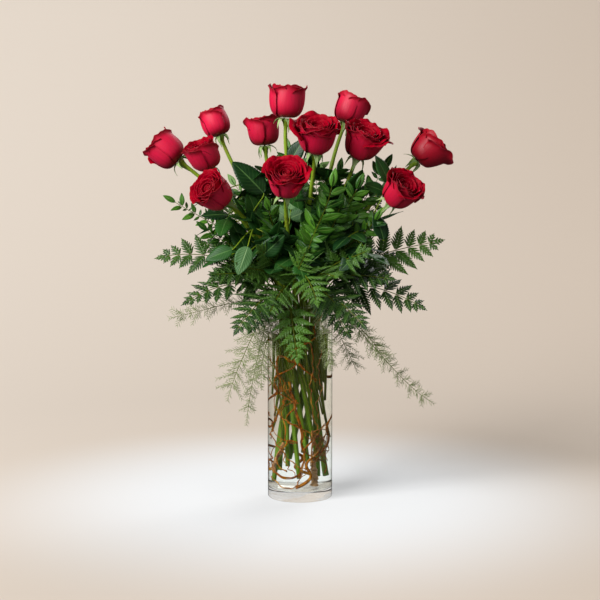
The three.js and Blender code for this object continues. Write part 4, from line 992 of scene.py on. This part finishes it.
def rib_of(plan, stations, corners):
    """A green's stalk, and frames along it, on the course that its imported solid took."""
    name, aim, end, face, slot, foot, rise = plan[:7]
    aim, face = np.array(aim, float), unit(np.array(face, float))
    out = unit(aim * (1, 1, 0))
    for shift, more in COURSES if corners else COURSES[:1]:
        tip = aim + np.cross(UP, out) * shift
        kind = STALK if corners else OUTER_STALK
        mouth = polar(kind["mouth_ring"], slot, MOUTH)
        reach = 0.32 * np.linalg.norm(tip - mouth)
        line = route(kind, slot, foot, tip, rise + more, unit(np.array(end, float)), reach)
        inward = unit((mouth - tip) * (1, 1, 0))
        frames = [frame_on(line, t, inward + (face - inward) * smooth(0, FACED, t)) for t in stations]
        last = frames[-1]
        if not corners or corners.hold(rib_edge(last, 1, STALK_WIDTH) + last["up"] * BLADE / 2):
            return line, frames
    raise RuntimeError("no course fits " + name)


def up_both_sides(line, face, shares):
    """Each place up a rib: its number, its share of the way, its frame, and one hand or the other."""
    for k, t in enumerate(shares):
        between = frame_on(line, t, face)
        for hand in (1, -1):
            yield k, t, between, hand


def bent_leaf(frame_at, frame_next, hand, leaf, corners):
    """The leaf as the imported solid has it, or None where it was left out."""
    angle, climb, roll, length, arch = leaf
    root = root_of(frame_at, frame_next, hand, STALK_WIDTH)
    for more_climb, more_roll, share in BENDS:
        shape = leaf_shape(frame_at, root, hand, angle, climb + more_climb, roll + more_roll,
                           length * share, arch)
        if not corners or corners.hold(*tip_corners(shape)):
            return shape
    return None


def stalk_tube(piece, line, radius, tip_radius, sides=8):
    """The stalk of a green, from its foot in the water to its tip."""
    share = np.linspace(0, 1, 40)
    straight = line[0] + (line[2][0] - line[0]) * np.linspace(0, 1, 10)[:-1, None]
    points = np.concatenate([straight, bezier(line[2], share)])
    radii = np.concatenate([np.full(len(straight), radius), radius + (tip_radius - radius) * share])
    along = np.linspace(0, 1, len(points) + 2)[:, None]
    piece.grid(tube(points, radii, sides), ring=True, across=0, along=along, tone=0.5)


def lobe_half(s):
    """A lobe of a fern's leaflet: broad where it joins, pointed, with three shallow teeth on each side."""
    return (0.4 + 0.1 * ((3 * s) % 1)) * (1 - s) ** 0.5 + 0.01


def lobed_leaflet(piece, shape, half, seed, tone):
    """A leaflet of the fern: lobes in pairs along its midrib, shorter towards its pointed tip."""
    tone = tone + 0.14 * vary(seed + 17)
    wide = np.cross(shape["way"], shape["normal"])
    count = max(3, round(0.9 * shape["length"] / LOBE_SPACING))
    places = 0.04 + 0.9 * (np.arange(count) + 0.5) / count
    for k, place in enumerate(places):
        slope = unit(shape["way"] - 2 * shape["arch"] * place * shape["normal"])
        normal = unit(np.cross(wide, slope))
        outline = half * (1 - place) ** 0.85 * (0.7 + 0.3 * smooth(0, 0.18, place)) * 1.22
        for hand in (1, -1):
            turn = math.radians(50 - 18 * place)
            way = math.cos(turn) * slope + hand * math.sin(turn) * wide
            way = unit(way + 0.16 * vary(seed + 3 * k + hand) * normal)
            length = max(SHORTEST_LOBE, outline / math.sin(turn))
            lobe = {"root": on_leaf(shape, place - 0.3 / count), "way": way,
                    "normal": square_to(normal, way), "length": length, "arch": 0.12}
            width = 0.52 * LOBE_SPACING / length
            spread_blade(piece, lobe, lambda s: width * 2.1 * lobe_half(s), 7, 3, seed, fold=-0.05,
                         tone=tone)
    tip = {"root": on_leaf(shape, 0.9), "way": unit(shape["way"] - 2 * shape["arch"] * shape["normal"]),
           "normal": shape["normal"], "length": 0.12 * shape["length"] + 1.2, "arch": 0.05}
    spread_blade(piece, tip, lambda s: 0.3 * (1 - s) + 0.03, 5, 3, seed, tone=tone)
    spine = np.array([on_leaf(shape, s, rise=0.12) for s in np.linspace(0, 0.97, 8)])
    thread(piece, spine, 0.42, 0.16, 4, tone)


def fern_frond(plan, index, frond, stalk, corners):
    """A frond: leaflets in pairs, shorter towards the tip, each as broad as the room between two pairs."""
    name, *_, half, bare = plan
    shares = np.arange(FERN_PAIRS + 1) / FERN_PAIRS
    leafy = bare + (0.97 - bare) * shares * (1.25 - 0.25 * shares)
    below = [-1, 0, 0.4 * bare, 0.75 * bare]
    line, frames = rib_of(plan, [*below, *leafy], corners)
    seed = 101 * (index + 1)
    # Fronds in the table take its tone, the dark ones as painted shade; the rest vary at random.
    tone = FROND_SHADE_AND_TONES.get(name, 0.5 + 0.25 * vary(7 * index))
    for pair in range(FERN_PAIRS):
        k = len(below) + pair
        share = pair / FERN_PAIRS
        angle = 64 - 16 * share
        room = np.linalg.norm(frames[k]["at"] - frames[k + 1]["at"]) * math.sin(math.radians(angle))
        longest = half * (1 - 0.86 * share) * (1 if pair else 0.9)
        for hand in (1, -1):
            leaf = (angle, 6 + 7 * vary(seed + 11 * pair + 2 * hand), 8 * vary(seed + 13 * pair + 3 * hand),
                    longest * (1 + 0.07 * vary(seed + 7 * pair + hand)), FERN_ARCH)
            shape = bent_leaf(frames[k], frames[k + 1], hand, leaf, corners)
            if shape:
                lobed_leaflet(frond, shape, 0.62 * room, seed + 40 * k + hand, tone)
    lobed_leaflet(frond, end_shape(frames[-1], 0.26 * half, 0), 0.1 * half, seed, tone)
    stalk_tube(stalk, line, 1.15, 0.45)


fern_top = leaf_finish("fern_upper", rgb(14, 46, 10), rgb(76, 116, 38), rgb(100, 136, 60),
                       gloss=0.4, veins=5, tilt=1.2, depth=0.0002)
fern_under = leaf_finish("fern_under", rgb(58, 104, 52), rgb(86, 132, 70), rgb(120, 150, 90),
                         gloss=0.0, veins=5, tilt=1.2, depth=0.0002)
wiry = Finish("green_stalk", Specular_IOR_Level=0.14)
streak = wiry.noise(wiry.place(50, 50, 8), 12, 3)
wiry.paint(Base_Color=wiry.blend(streak, rgb(60, 68, 12), rgb(106, 120, 32)), Roughness=0.42 + 0.2 * streak)
wiry.paint(Normal=wiry.bump(streak, 0.0003))


def grow_greens(kind, grow, plans, first, finishes, thick):
    """Grows the greens of a kind: a packed one by itself, the others as a fill in front or behind."""
    made = {}
    for index, plan in enumerate(plans, first):
        name, aim = plan[:2]
        corners = Corners(name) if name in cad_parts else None
        if not corners:
            name = kind + ("_fill_front" if aim[1] < 0 else "_fill_back")
        leaves, stalk = made.setdefault(name, (foliage(), foliage()))
        grow(plan, index, leaves, stalk, corners)
    for name, (leaves, stalk) in made.items():
        settle(leaves.make(name, finishes, thick=thick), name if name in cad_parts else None)
        settle(stalk.make(name + "_stalk", [wiry], weld=True))


grow_greens("fern", fern_frond, FERNS + MORE_FERNS, 0, [fern_top, fern_under], FERN_THICK)

# ---------------------------------------------------------------- leafy sprays
# Upright sprays of small pointed leaves in pairs, thin and a little glossy, on fine woody stems. They
# stand between the roses, and a few reach out low at the left.

# A spray's facts are a frond's, with the length of its leaves and how many pairs it has at the end.
SPRAYS = [
    ("spray_01", (-188, -22, 456), (-0.8, -0.1, 0.5), (-0.2, -0.8, 0.6), 172, 150, 90, 24, 7),
    ("spray_02", (46, -96, 480), (0.2, 0, 0.98), (0, -1, 0.2), 284, 110, 100, 32, 6),
    ("spray_03", (128, 10, 506), (0.5, 0, 0.86), (0.2, -0.9, 0.3), 15, 165, 110, 30, 6),
    ("spray_04", (-18, 56, 530), (-0.1, 0.1, 0.97), (-0.2, -0.9, 0.3), 99, 140, 120, 28, 7),
    ("spray_05", (28, 104, 516), (0.1, 0.5, 0.86), (0.2, 0.9, 0.3), 66, 100, 110, 28, 7),
    ("spray_06", (-104, 116, 480), (-0.5, 0.5, 0.7), (-0.3, 0.8, 0.5), 149, 120, 100, 28, 6),
    ("spray_07", (84, -52, 476), (0.4, -0.1, 0.9), (0.1, -0.9, 0.4), 308, 135, 96, 30, 6),
]
# More of them in the gaps, too close-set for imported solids.
MORE_SPRAYS = [
    ("fill_a", (-84, -30, 476), (-0.3, -0.1, 0.9), (-0.1, -0.9, 0.3), 190, 184, 100, 26, 7),
    ("fill_b", (-46, -52, 444), (-0.2, -0.3, 0.9), (0, -1, 0.2), 230, 150, 90, 26, 7),
    ("fill_c", (22, -56, 446), (0.2, -0.3, 0.95), (0, -1, 0.2), 275, 196, 90, 26, 7),
    ("fill_d", (58, -66, 448), (0.2, -0.2, 0.9), (0.1, -1, 0.2), 300, 170, 90, 28, 7),
    ("fill_e", (112, -44, 430), (0.5, -0.2, 0.8), (0.1, -1, 0.3), 330, 160, 80, 26, 7),
    ("fill_f", (-140, -24, 414), (-0.7, -0.2, 0.6), (-0.2, -0.9, 0.4), 175, 200, 70, 24, 7),
    ("fill_g", (60, 40, 500), (0.2, 0.1, 0.95), (0, -1, 0.1), 30, 178, 110, 28, 7),
    ("fill_h", (-70, 60, 480), (-0.2, 0.2, 0.95), (0, 1, 0.1), 135, 158, 110, 26, 7),
    ("fill_i", (90, 90, 456), (0.4, 0.4, 0.85), (0.2, 0.9, 0.3), 70, 188, 100, 26, 7),
    ("fill_j", (-8, 20, 470), (0, 0, 1), (0, -1, 0.1), 90, 166, 110, 28, 7),
]
SPRAY_ROOT = 3.2 / 260  # the width of a leaf's root, as a share of a stalk's length
SPRAY_ARCH = 0.1
SPRAY_THICK = 0.3


def lance_half(s):
    """A leaf of the spray is a lance, broadest at its middle."""
    return 0.2 * np.sin(math.pi * np.clip(s, 0, 1) ** 0.85) ** 0.85 + 0.006


def leafy_spray(plan, index, leaves, stalk, corners):
    """A spray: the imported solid's pairs of leaves, smaller ones between them, and two at the tip."""
    *_, size, pairs = plan
    starts = 0.34 + 0.6 * np.arange(pairs) / (pairs - 1)
    below = [-1, 0, 0.18]
    line, frames = rib_of(plan, [*below, *pairs_at(starts, SPRAY_ROOT), 1], corners)
    seed = 101 * (index + 1)
    for k in range(len(below), len(frames) - 1, 2):
        for hand in (1, -1):
            leaf = (48 + 8 * vary(seed + 3 * k + hand), 24 * vary(seed + 5 * k + 2 * hand),
                    30 * vary(seed + 7 * k + 3 * hand),
                    size * (1 - 0.03 * abs(k - 7)) * (1 + 0.12 * vary(seed + 9 * k + hand)), SPRAY_ARCH)
            shape = bent_leaf(frames[k], frames[k + 1], hand, leaf, corners)
            if shape:
                spread_blade(leaves, shape, lance_half, 12, 5, seed + 3.0 * k + hand, fold=0.22,
                             wave=0.02, sink=0.1)
    shares = np.arange(0.26, 0.97, 0.6 / (pairs - 1) / 2)
    for k, t, between, hand in up_both_sides(line, frames[-1]["up"], shares):
        length = size * (0.62 + 0.16 * vary(seed + 5 * k + hand)) * (1.15 - 0.4 * t)
        shape = leaf_shape(between, rib_edge(between, hand, 1.2), hand, 58 + 14 * vary(seed + k + hand),
                           34 * vary(seed + 7 * k + hand), 30 * vary(seed + 2 * k + hand),
                           length, SPRAY_ARCH)
        spread_blade(leaves, shape, lance_half, 9, 5, seed + 5.0 * k + hand, fold=0.22, wave=0.03,
                     sink=0.1)
    for turn in (0, 1):
        tip = end_shape(frames[-1], size * (0.9 - 0.3 * turn), SPRAY_ARCH)
        tip["normal"] = spun(tip["normal"], tip["way"], 80.0 * turn)
        spread_blade(leaves, tip, lance_half, 10, 5, seed + turn, fold=0.22, sink=0.1)
    stalk_tube(stalk, line, 1.15, 0.4)


spray_top = leaf_finish("spray_upper", rgb(30, 72, 18), rgb(78, 128, 36), rgb(120, 156, 70),
                        gloss=0.22, veins=6, tilt=2.0, depth=0.0002)
spray_under = leaf_finish("spray_under", rgb(84, 124, 58), rgb(116, 152, 84), rgb(140, 168, 104),
                          gloss=0.0, veins=6, tilt=2.0, depth=0.0002)
grow_greens("spray", leafy_spray, SPRAYS + MORE_SPRAYS, len(FERNS), [spray_top, spray_under], SPRAY_THICK)

# ---------------------------------------------------------------- asparagus fern
# Feathery sprigs of asparagus fern that trail over the rim. What look like leaves are needles in tufts,
# as fine as hair, close-set along thin flat branchlets.

# A sprig's facts are a frond's, with the length of its longest branchlets and how many pairs of them.
FEATHERS = [
    ("feather_01", (-76, -34, 136), (-0.12, 0, -1), (-0.3, -0.9, 0.2), 196, 170, 40, 36, 8),
    ("feather_02", (197, -6, 152), (0.8, 0, -0.5), (0.2, -0.9, 0.4), 347, 150, 44, 20, 8),
    ("feather_03", (-184, -50, 286), (-1, -0.1, -0.2), (0, -0.9, 0.4), 216, 180, 30, 22, 6),
]
# More of them round the rim, too close-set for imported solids.
MORE_FEATHERS = [
    ("fill_a", (-104, -56, 178), (-0.3, -0.1, -0.95), (-0.2, -0.9, 0.3), 196, 170, 44, 34, 8),
    ("fill_b", (-58, -74, 196), (0.05, -0.1, -0.99), (-0.1, -0.9, 0.3), 236, 170, 44, 30, 8),
    ("fill_c", (128, -60, 226), (0.6, -0.2, -0.75), (0.2, -0.9, 0.4), 330, 170, 40, 22, 8),
    ("fill_d", (88, 104, 190), (0.4, 0.4, -0.85), (0.3, 0.8, 0.4), 60, 170, 40, 28, 8),
    ("fill_e", (45, -70, 216), (0.1, -0.1, -0.99), (0.1, -0.9, 0.3), 304, 170, 44, 15, 7),
]
FEATHER_LENGTH = 240
FEATHER_ROOT = 2.4
FEATHER_ARCH = 0.1
NEEDLE_SPACING = 4.0
NEEDLE_LENGTH = 8.5
NEEDLE_RADIUS = 0.42


def needle(piece, root, way, length, tone):
    """One needle, bent a little, on three sides."""
    side = unit(np.cross(way, UP + 0.3))
    other = np.cross(way, side)
    turn = np.linspace(0, math.tau, 3, endpoint=False)
    ring = NEEDLE_RADIUS * (np.cos(turn)[:, None] * side + np.sin(turn)[:, None] * other)
    rows = [root + 0.5 * ring, root + way * length * 0.5 + ring + side * 0.06 * length,
            root + way * length + 0.15 * ring]
    piece.grid(np.array(rows), ring=True, across=0, along=np.array([[0], [0.5], [1]]), tone=tone)


def needled_branch(piece, shape, seed):
    """A branchlet with a needle to each side at every joint, in its plane and pointing forwards."""
    count = max(3, round(shape["length"] / NEEDLE_SPACING))
    wide = np.cross(shape["way"], shape["normal"])
    for k in range(count):
        place = (k + 0.6) / count
        root = on_leaf(shape, place)
        slope = unit(shape["way"] - 2 * shape["arch"] * place * shape["normal"])
        reach = NEEDLE_LENGTH * (1.15 - 0.55 * place)
        for j, hand in enumerate((1, -1)):
            lean = math.radians(hand * (40 + 14 * vary(seed + 5 * k + j)))
            lift = 0.4 * vary(seed + 11 * k + 3 * j)
            way = unit(math.cos(lean) * slope + math.sin(lean) * wide + lift * shape["normal"])
            length = reach * (1 + 0.3 * vary(seed + k + 7 * j))
            needle(piece, root, way, length, 0.5 + 0.5 * vary(seed + k + j))
    spine = np.array([on_leaf(shape, s) for s in np.linspace(0, 1, 7)])
    thread(piece, spine, 0.5, 0.25, 4, 0.4)


def feather(plan, index, needles, stalk, corners):
    """A sprig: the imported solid's branchlets in pairs, shorter ones between, and needles on the stalk."""
    *_, half, pairs = plan
    starts = 0.3 + 0.65 * np.arange(pairs) / (pairs - 1)
    below = [-1, 0, 0.1, 0.2]
    line, frames = rib_of(plan, [*below, *pairs_at(starts, FEATHER_ROOT / FEATHER_LENGTH), 1], corners)
    seed = 101 * (index + 1)
    for k in range(len(below), len(frames) - 1, 2):
        share = (k - len(below)) / (2 * pairs)
        length = min(half, half * (0.45 + 0.75 * math.sin(math.pi * min(1, 0.2 + 0.75 * share))))
        for hand in (1, -1):
            leaf = (52 + 10 * vary(seed + 3 * k + hand), 16 * vary(seed + 5 * k + 2 * hand),
                    30 * vary(seed + 7 * k + 3 * hand),
                    length * (1 - 0.12 * abs(vary(seed + 9 * k + hand))), FEATHER_ARCH)
            shape = bent_leaf(frames[k], frames[k + 1], hand, leaf, corners)
            if shape:
                needled_branch(needles, shape, seed + 50 * k + hand)
    shares = np.arange(0.16, 0.99, 0.65 / (pairs - 1) / 2)
    for k, t, between, hand in up_both_sides(line, frames[-1]["up"], shares):
        length = half * (0.55 + 0.15 * vary(seed + 7 * k + hand)) * (1.1 - 0.4 * t)
        shape = leaf_shape(between, between["at"], hand, 50 + 16 * vary(seed + k + hand),
                           40 * vary(seed + 3 * k + hand), 40 * vary(seed + 5 * k + hand), length, 0.12)
        needled_branch(needles, shape, seed + 60 * k + hand)
    shares = np.arange(0.12, 1, NEEDLE_SPACING / FEATHER_LENGTH)
    for k, t, between, hand in up_both_sides(line, frames[-1]["up"], shares):
        length = (17 + 4 * vary(seed + 9 * k + hand)) * (1.1 - 0.5 * t)
        shape = leaf_shape(between, between["at"], hand, 58 + 14 * vary(seed + k + hand),
                           34 * vary(seed + 3 * k + hand), 0, length, 0)
        needle(needles, shape["root"], shape["way"], length, 0.5 + 0.5 * vary(seed + k))
    needled_branch(needles, end_shape(frames[-1], 0.6 * half, FEATHER_ARCH), seed)
    stalk_tube(stalk, line, 0.9, 0.35, 6)


feathery = Finish("asparagus_needles", Specular_IOR_Level=0.35, Roughness=0.55)
mottle = feathery.noise(feathery.place(), 60, 3)
body = feathery.blend(feathery.mark("tone") * 0.7 + 0.3 * mottle, rgb(96, 112, 58), rgb(152, 162, 110))
tips = feathery.mark("along").between(0.6, 1.0) * 0.3
feathery.paint(Base_Color=feathery.blend(tips, body, rgb(178, 186, 140)))
grow_greens("feather", feather, FEATHERS + MORE_FEATHERS, len(FERNS) + len(SPRAYS), [feathery], 0)

# ---------------------------------------------------------------- curly willow
# Twigs of curly willow with their brown bark on, some as thick as a pencil and some as fine as string.
# They are soaked soft and wound into the glass between the stems and the wall, where they spring open.

# The three long twigs: the ring that each winds on, the compass way it starts from and how far it turns,
# the height of its foot, how often it waves and how far, in degrees, and its radius.
WILLOWS = [
    ("willow_01", 42.6, 262, 250, 22, 5, 15, 2.1),
    ("willow_02", 42.6, 70, 250, 26, 6, 13, 1.8),
    ("willow_03", 38.6, 330, -200, 40, 5, 18, 1.1),
]
WILLOW_TOP = 286
WILLOW_SAMPLES = 160


def willow_path(ring, start, turn, low, waves, sway):
    """A long twig winds up inside the glass and sways from side to side."""
    share = np.linspace(0, 1, WILLOW_SAMPLES)
    fade = np.minimum(1, 8 * (1 - share))
    bearing = start + turn * share + sway * fade * np.sin(math.tau * waves * share)
    return polar(ring, bearing, low + (WILLOW_TOP - low) * share)


willow_bark = Finish("willow_bark", Specular_IOR_Level=0.1)
grain = willow_bark.noise(willow_bark.place(40, 40, 12), 14, 5)
patch = willow_bark.noise(willow_bark.place(), 60, 3)
brown = willow_bark.blend(grain.between(0.35, 0.68), rgb(66, 34, 2), rgb(172, 98, 8))
brown = willow_bark.blend(patch.between(0.5, 0.75) * 0.7, brown, rgb(196, 144, 40))
brown = willow_bark.blend(willow_bark.mark("tone"), brown, rgb(170, 136, 96))
willow_bark.paint(Base_Color=brown, Roughness=0.5 + 0.25 * grain, Normal=willow_bark.bump(grain, 0.0005))


# Twigs that bow round the front: radius, how many are twisted together, distance from the middle of the
# glass, how pale the bark is, and places as millimetres to the right of the middle and above the table.
FRONT_TWIGS = [
    (1.1, 2, 41, 0.0, [(-26, 168), (-30, 191), (-33, 212), (-29, 223), (-18, 220), (-5, 214), (10, 202),
                       (24, 184)]),
    (1.05, 3, 41, 0.0, [(-15, 186), (-11, 162), (-5, 141), (1, 117), (3, 94), (6, 76), (5, 59), (0, 44),
                        (-12, 36), (-27, 38), (-38, 44)]),
    (0.8, 2, 43, 0.0, [(-21, 160), (-30, 138), (-38, 115), (-41, 92)]),
    (0.9, 1, 43, 0.0, [(-36, 144), (-24, 127), (-12, 121), (2, 113), (12, 100), (24, 96)]),
    (1.0, 1, 43, 0.1, [(-42, 99), (-34, 88), (-23, 74), (-11, 61), (2, 54), (14, 50), (20, 62)]),
    (1.0, 1, 43, 0.2, [(-41, 34), (-30, 24), (-15, 20), (-4, 28), (3, 46), (6, 66)]),
    (0.7, 1, 43, 0.1, [(-27, 86), (-21, 60), (-12, 48), (2, 38), (9, 50)]),
    (0.9, 1, 42, 0.1, [(15, 244), (19, 211), (15, 180), (17, 157), (20, 129), (28, 107)]),
    (0.8, 1, 42, 0.2, [(30, 232), (26, 200), (31, 170), (24, 151), (28, 126)]),
    (5.2, 1, 35, 1.0, [(20, 24), (20, 38), (19, 52), (17, 66)]),
    (3.6, 1, 38, 0.6, [(-36, 42), (-34, 57), (-28, 74), (-23, 90)]),
]


def through(places, samples):
    """A smooth curve through all the places of a list."""
    places = np.array(places, float)
    places = np.vstack([2 * places[0] - places[1], places, 2 * places[-1] - places[-2]])
    t = np.linspace(0, len(places) - 3 - 1e-6, samples)
    start = t.astype(int)
    u = (t - start)[:, None]
    a, b, c, d = (places[start + k] for k in range(4))
    return b + 0.5 * u * (c - a + u * (2 * a - 5 * b + 4 * c - d + u * (3 * (b - c) + d - a)))


def balled_path():
    """A fine twig rolled into a loose ball low at the right."""
    share = np.linspace(0, 1, 5 * WILLOW_SAMPLES)
    turn = math.tau * share
    swell = 1 + 0.18 * np.sin(5 * turn)
    bearing = 316 + 22 * swell * np.cos(9 * turn) + 5 * np.sin(4 * turn)
    height = 86 + 21 * swell * np.sin(9 * turn + 1.3 * np.sin(2 * turn)) + 7 * np.cos(3 * turn)
    return polar(41 + 3.5 * np.sin(13 * turn), bearing, height)


CURLS = 6


def curled_path(seed):
    """A finer twig that doubles back on itself as it climbs, in the same gap by the glass."""
    share = np.linspace(0, 1, WILLOW_SAMPLES)
    ring = 42.0 + 2.4 * np.sin(math.tau * (1.7 * share + vary(seed)))
    low, high = 30 + 22 * vary(seed + 1), 200 + 50 * vary(seed + 2)
    curls = 2 + 1.6 * abs(vary(seed + 3))
    phase = math.tau * vary(seed + 4)
    sway = 16 * np.sin(math.tau * curls * share + phase) + 6 * np.sin(math.tau * 2.7 * curls * share)
    bearing = 165 + 75 * vary(seed + 5) + 40 * vary(seed + 6) * share + sway
    loop = 14 * np.cos(math.tau * curls * share + phase) * smooth(0, 0.12, share) * smooth(1, 0.85, share)
    return polar(ring, bearing, low + (high - low) * share + loop)


def front_path(places, ring, sway):
    """A path through places given as they show from the front, laid on a ring inside the glass."""
    right, height = through(places, WILLOW_SAMPLES).T
    share = np.linspace(0, 1, WILLOW_SAMPLES)
    right = right + sway * (np.sin(31 * share + height[0]) + 0.6 * np.sin(57 * share))
    height = height + sway * np.cos(27 * share + height[0])
    ring = ring + 1.2 * np.sin(19 * share + right[0])
    front = -np.sqrt(np.maximum(1, ring ** 2 - right ** 2))
    return np.stack([right, front, height], -1)


def twisted(path, strand, strands, radius, seed):
    """One strand of several that are twisted loosely round a path."""
    share = np.linspace(0, 1, len(path))[:, None]
    way = unit(np.gradient(path, axis=0))
    side = unit(np.cross(way, UP + 0.2))
    other = np.cross(way, side)
    turn = math.tau * (strand / strands + 2.2 * share) + 0.8 * np.sin(9 * share + seed)
    apart = radius * (1.1 + 0.5 * np.sin(13 * share + 2 * strand)) * (strands > 1)
    return path + apart * (np.cos(turn) * side + np.sin(turn) * other)


def willow_twig(piece, points, radius, seed, tone=0.0):
    """A twig that thins towards its tip, with knots where buds were."""
    share = np.linspace(0, 1, len(points))
    knots = 1 + 0.14 * np.sin(60 * share + seed) + 0.12 * np.sin(23 * share + 2 * seed)
    piece.grid(tube(points, radius * knots * (1.05 - 0.35 * share), 9), ring=True, tone=tone)


for index, (name, *winding, radius) in enumerate(WILLOWS):
    twig = Piece("tone")
    willow_twig(twig, willow_path(*winding), radius, index)
    settle(twig.make(name, [willow_bark], weld=True), name)
curls = Piece("tone")
for index in range(CURLS):
    willow_twig(curls, curled_path(13 * index), 0.9 + 0.3 * vary(index), index)
for index, (radius, strands, ring, tone, places) in enumerate(FRONT_TWIGS):
    path = front_path(places, ring, 0.9 / radius)
    for strand in range(strands):
        willow_twig(curls, twisted(path, strand, strands, radius, index), radius, 5 * index + strand, tone)
willow_twig(curls, balled_path(), 0.85, 3, 0.2)
settle(curls.make("willow_curls", [willow_bark], weld=True))
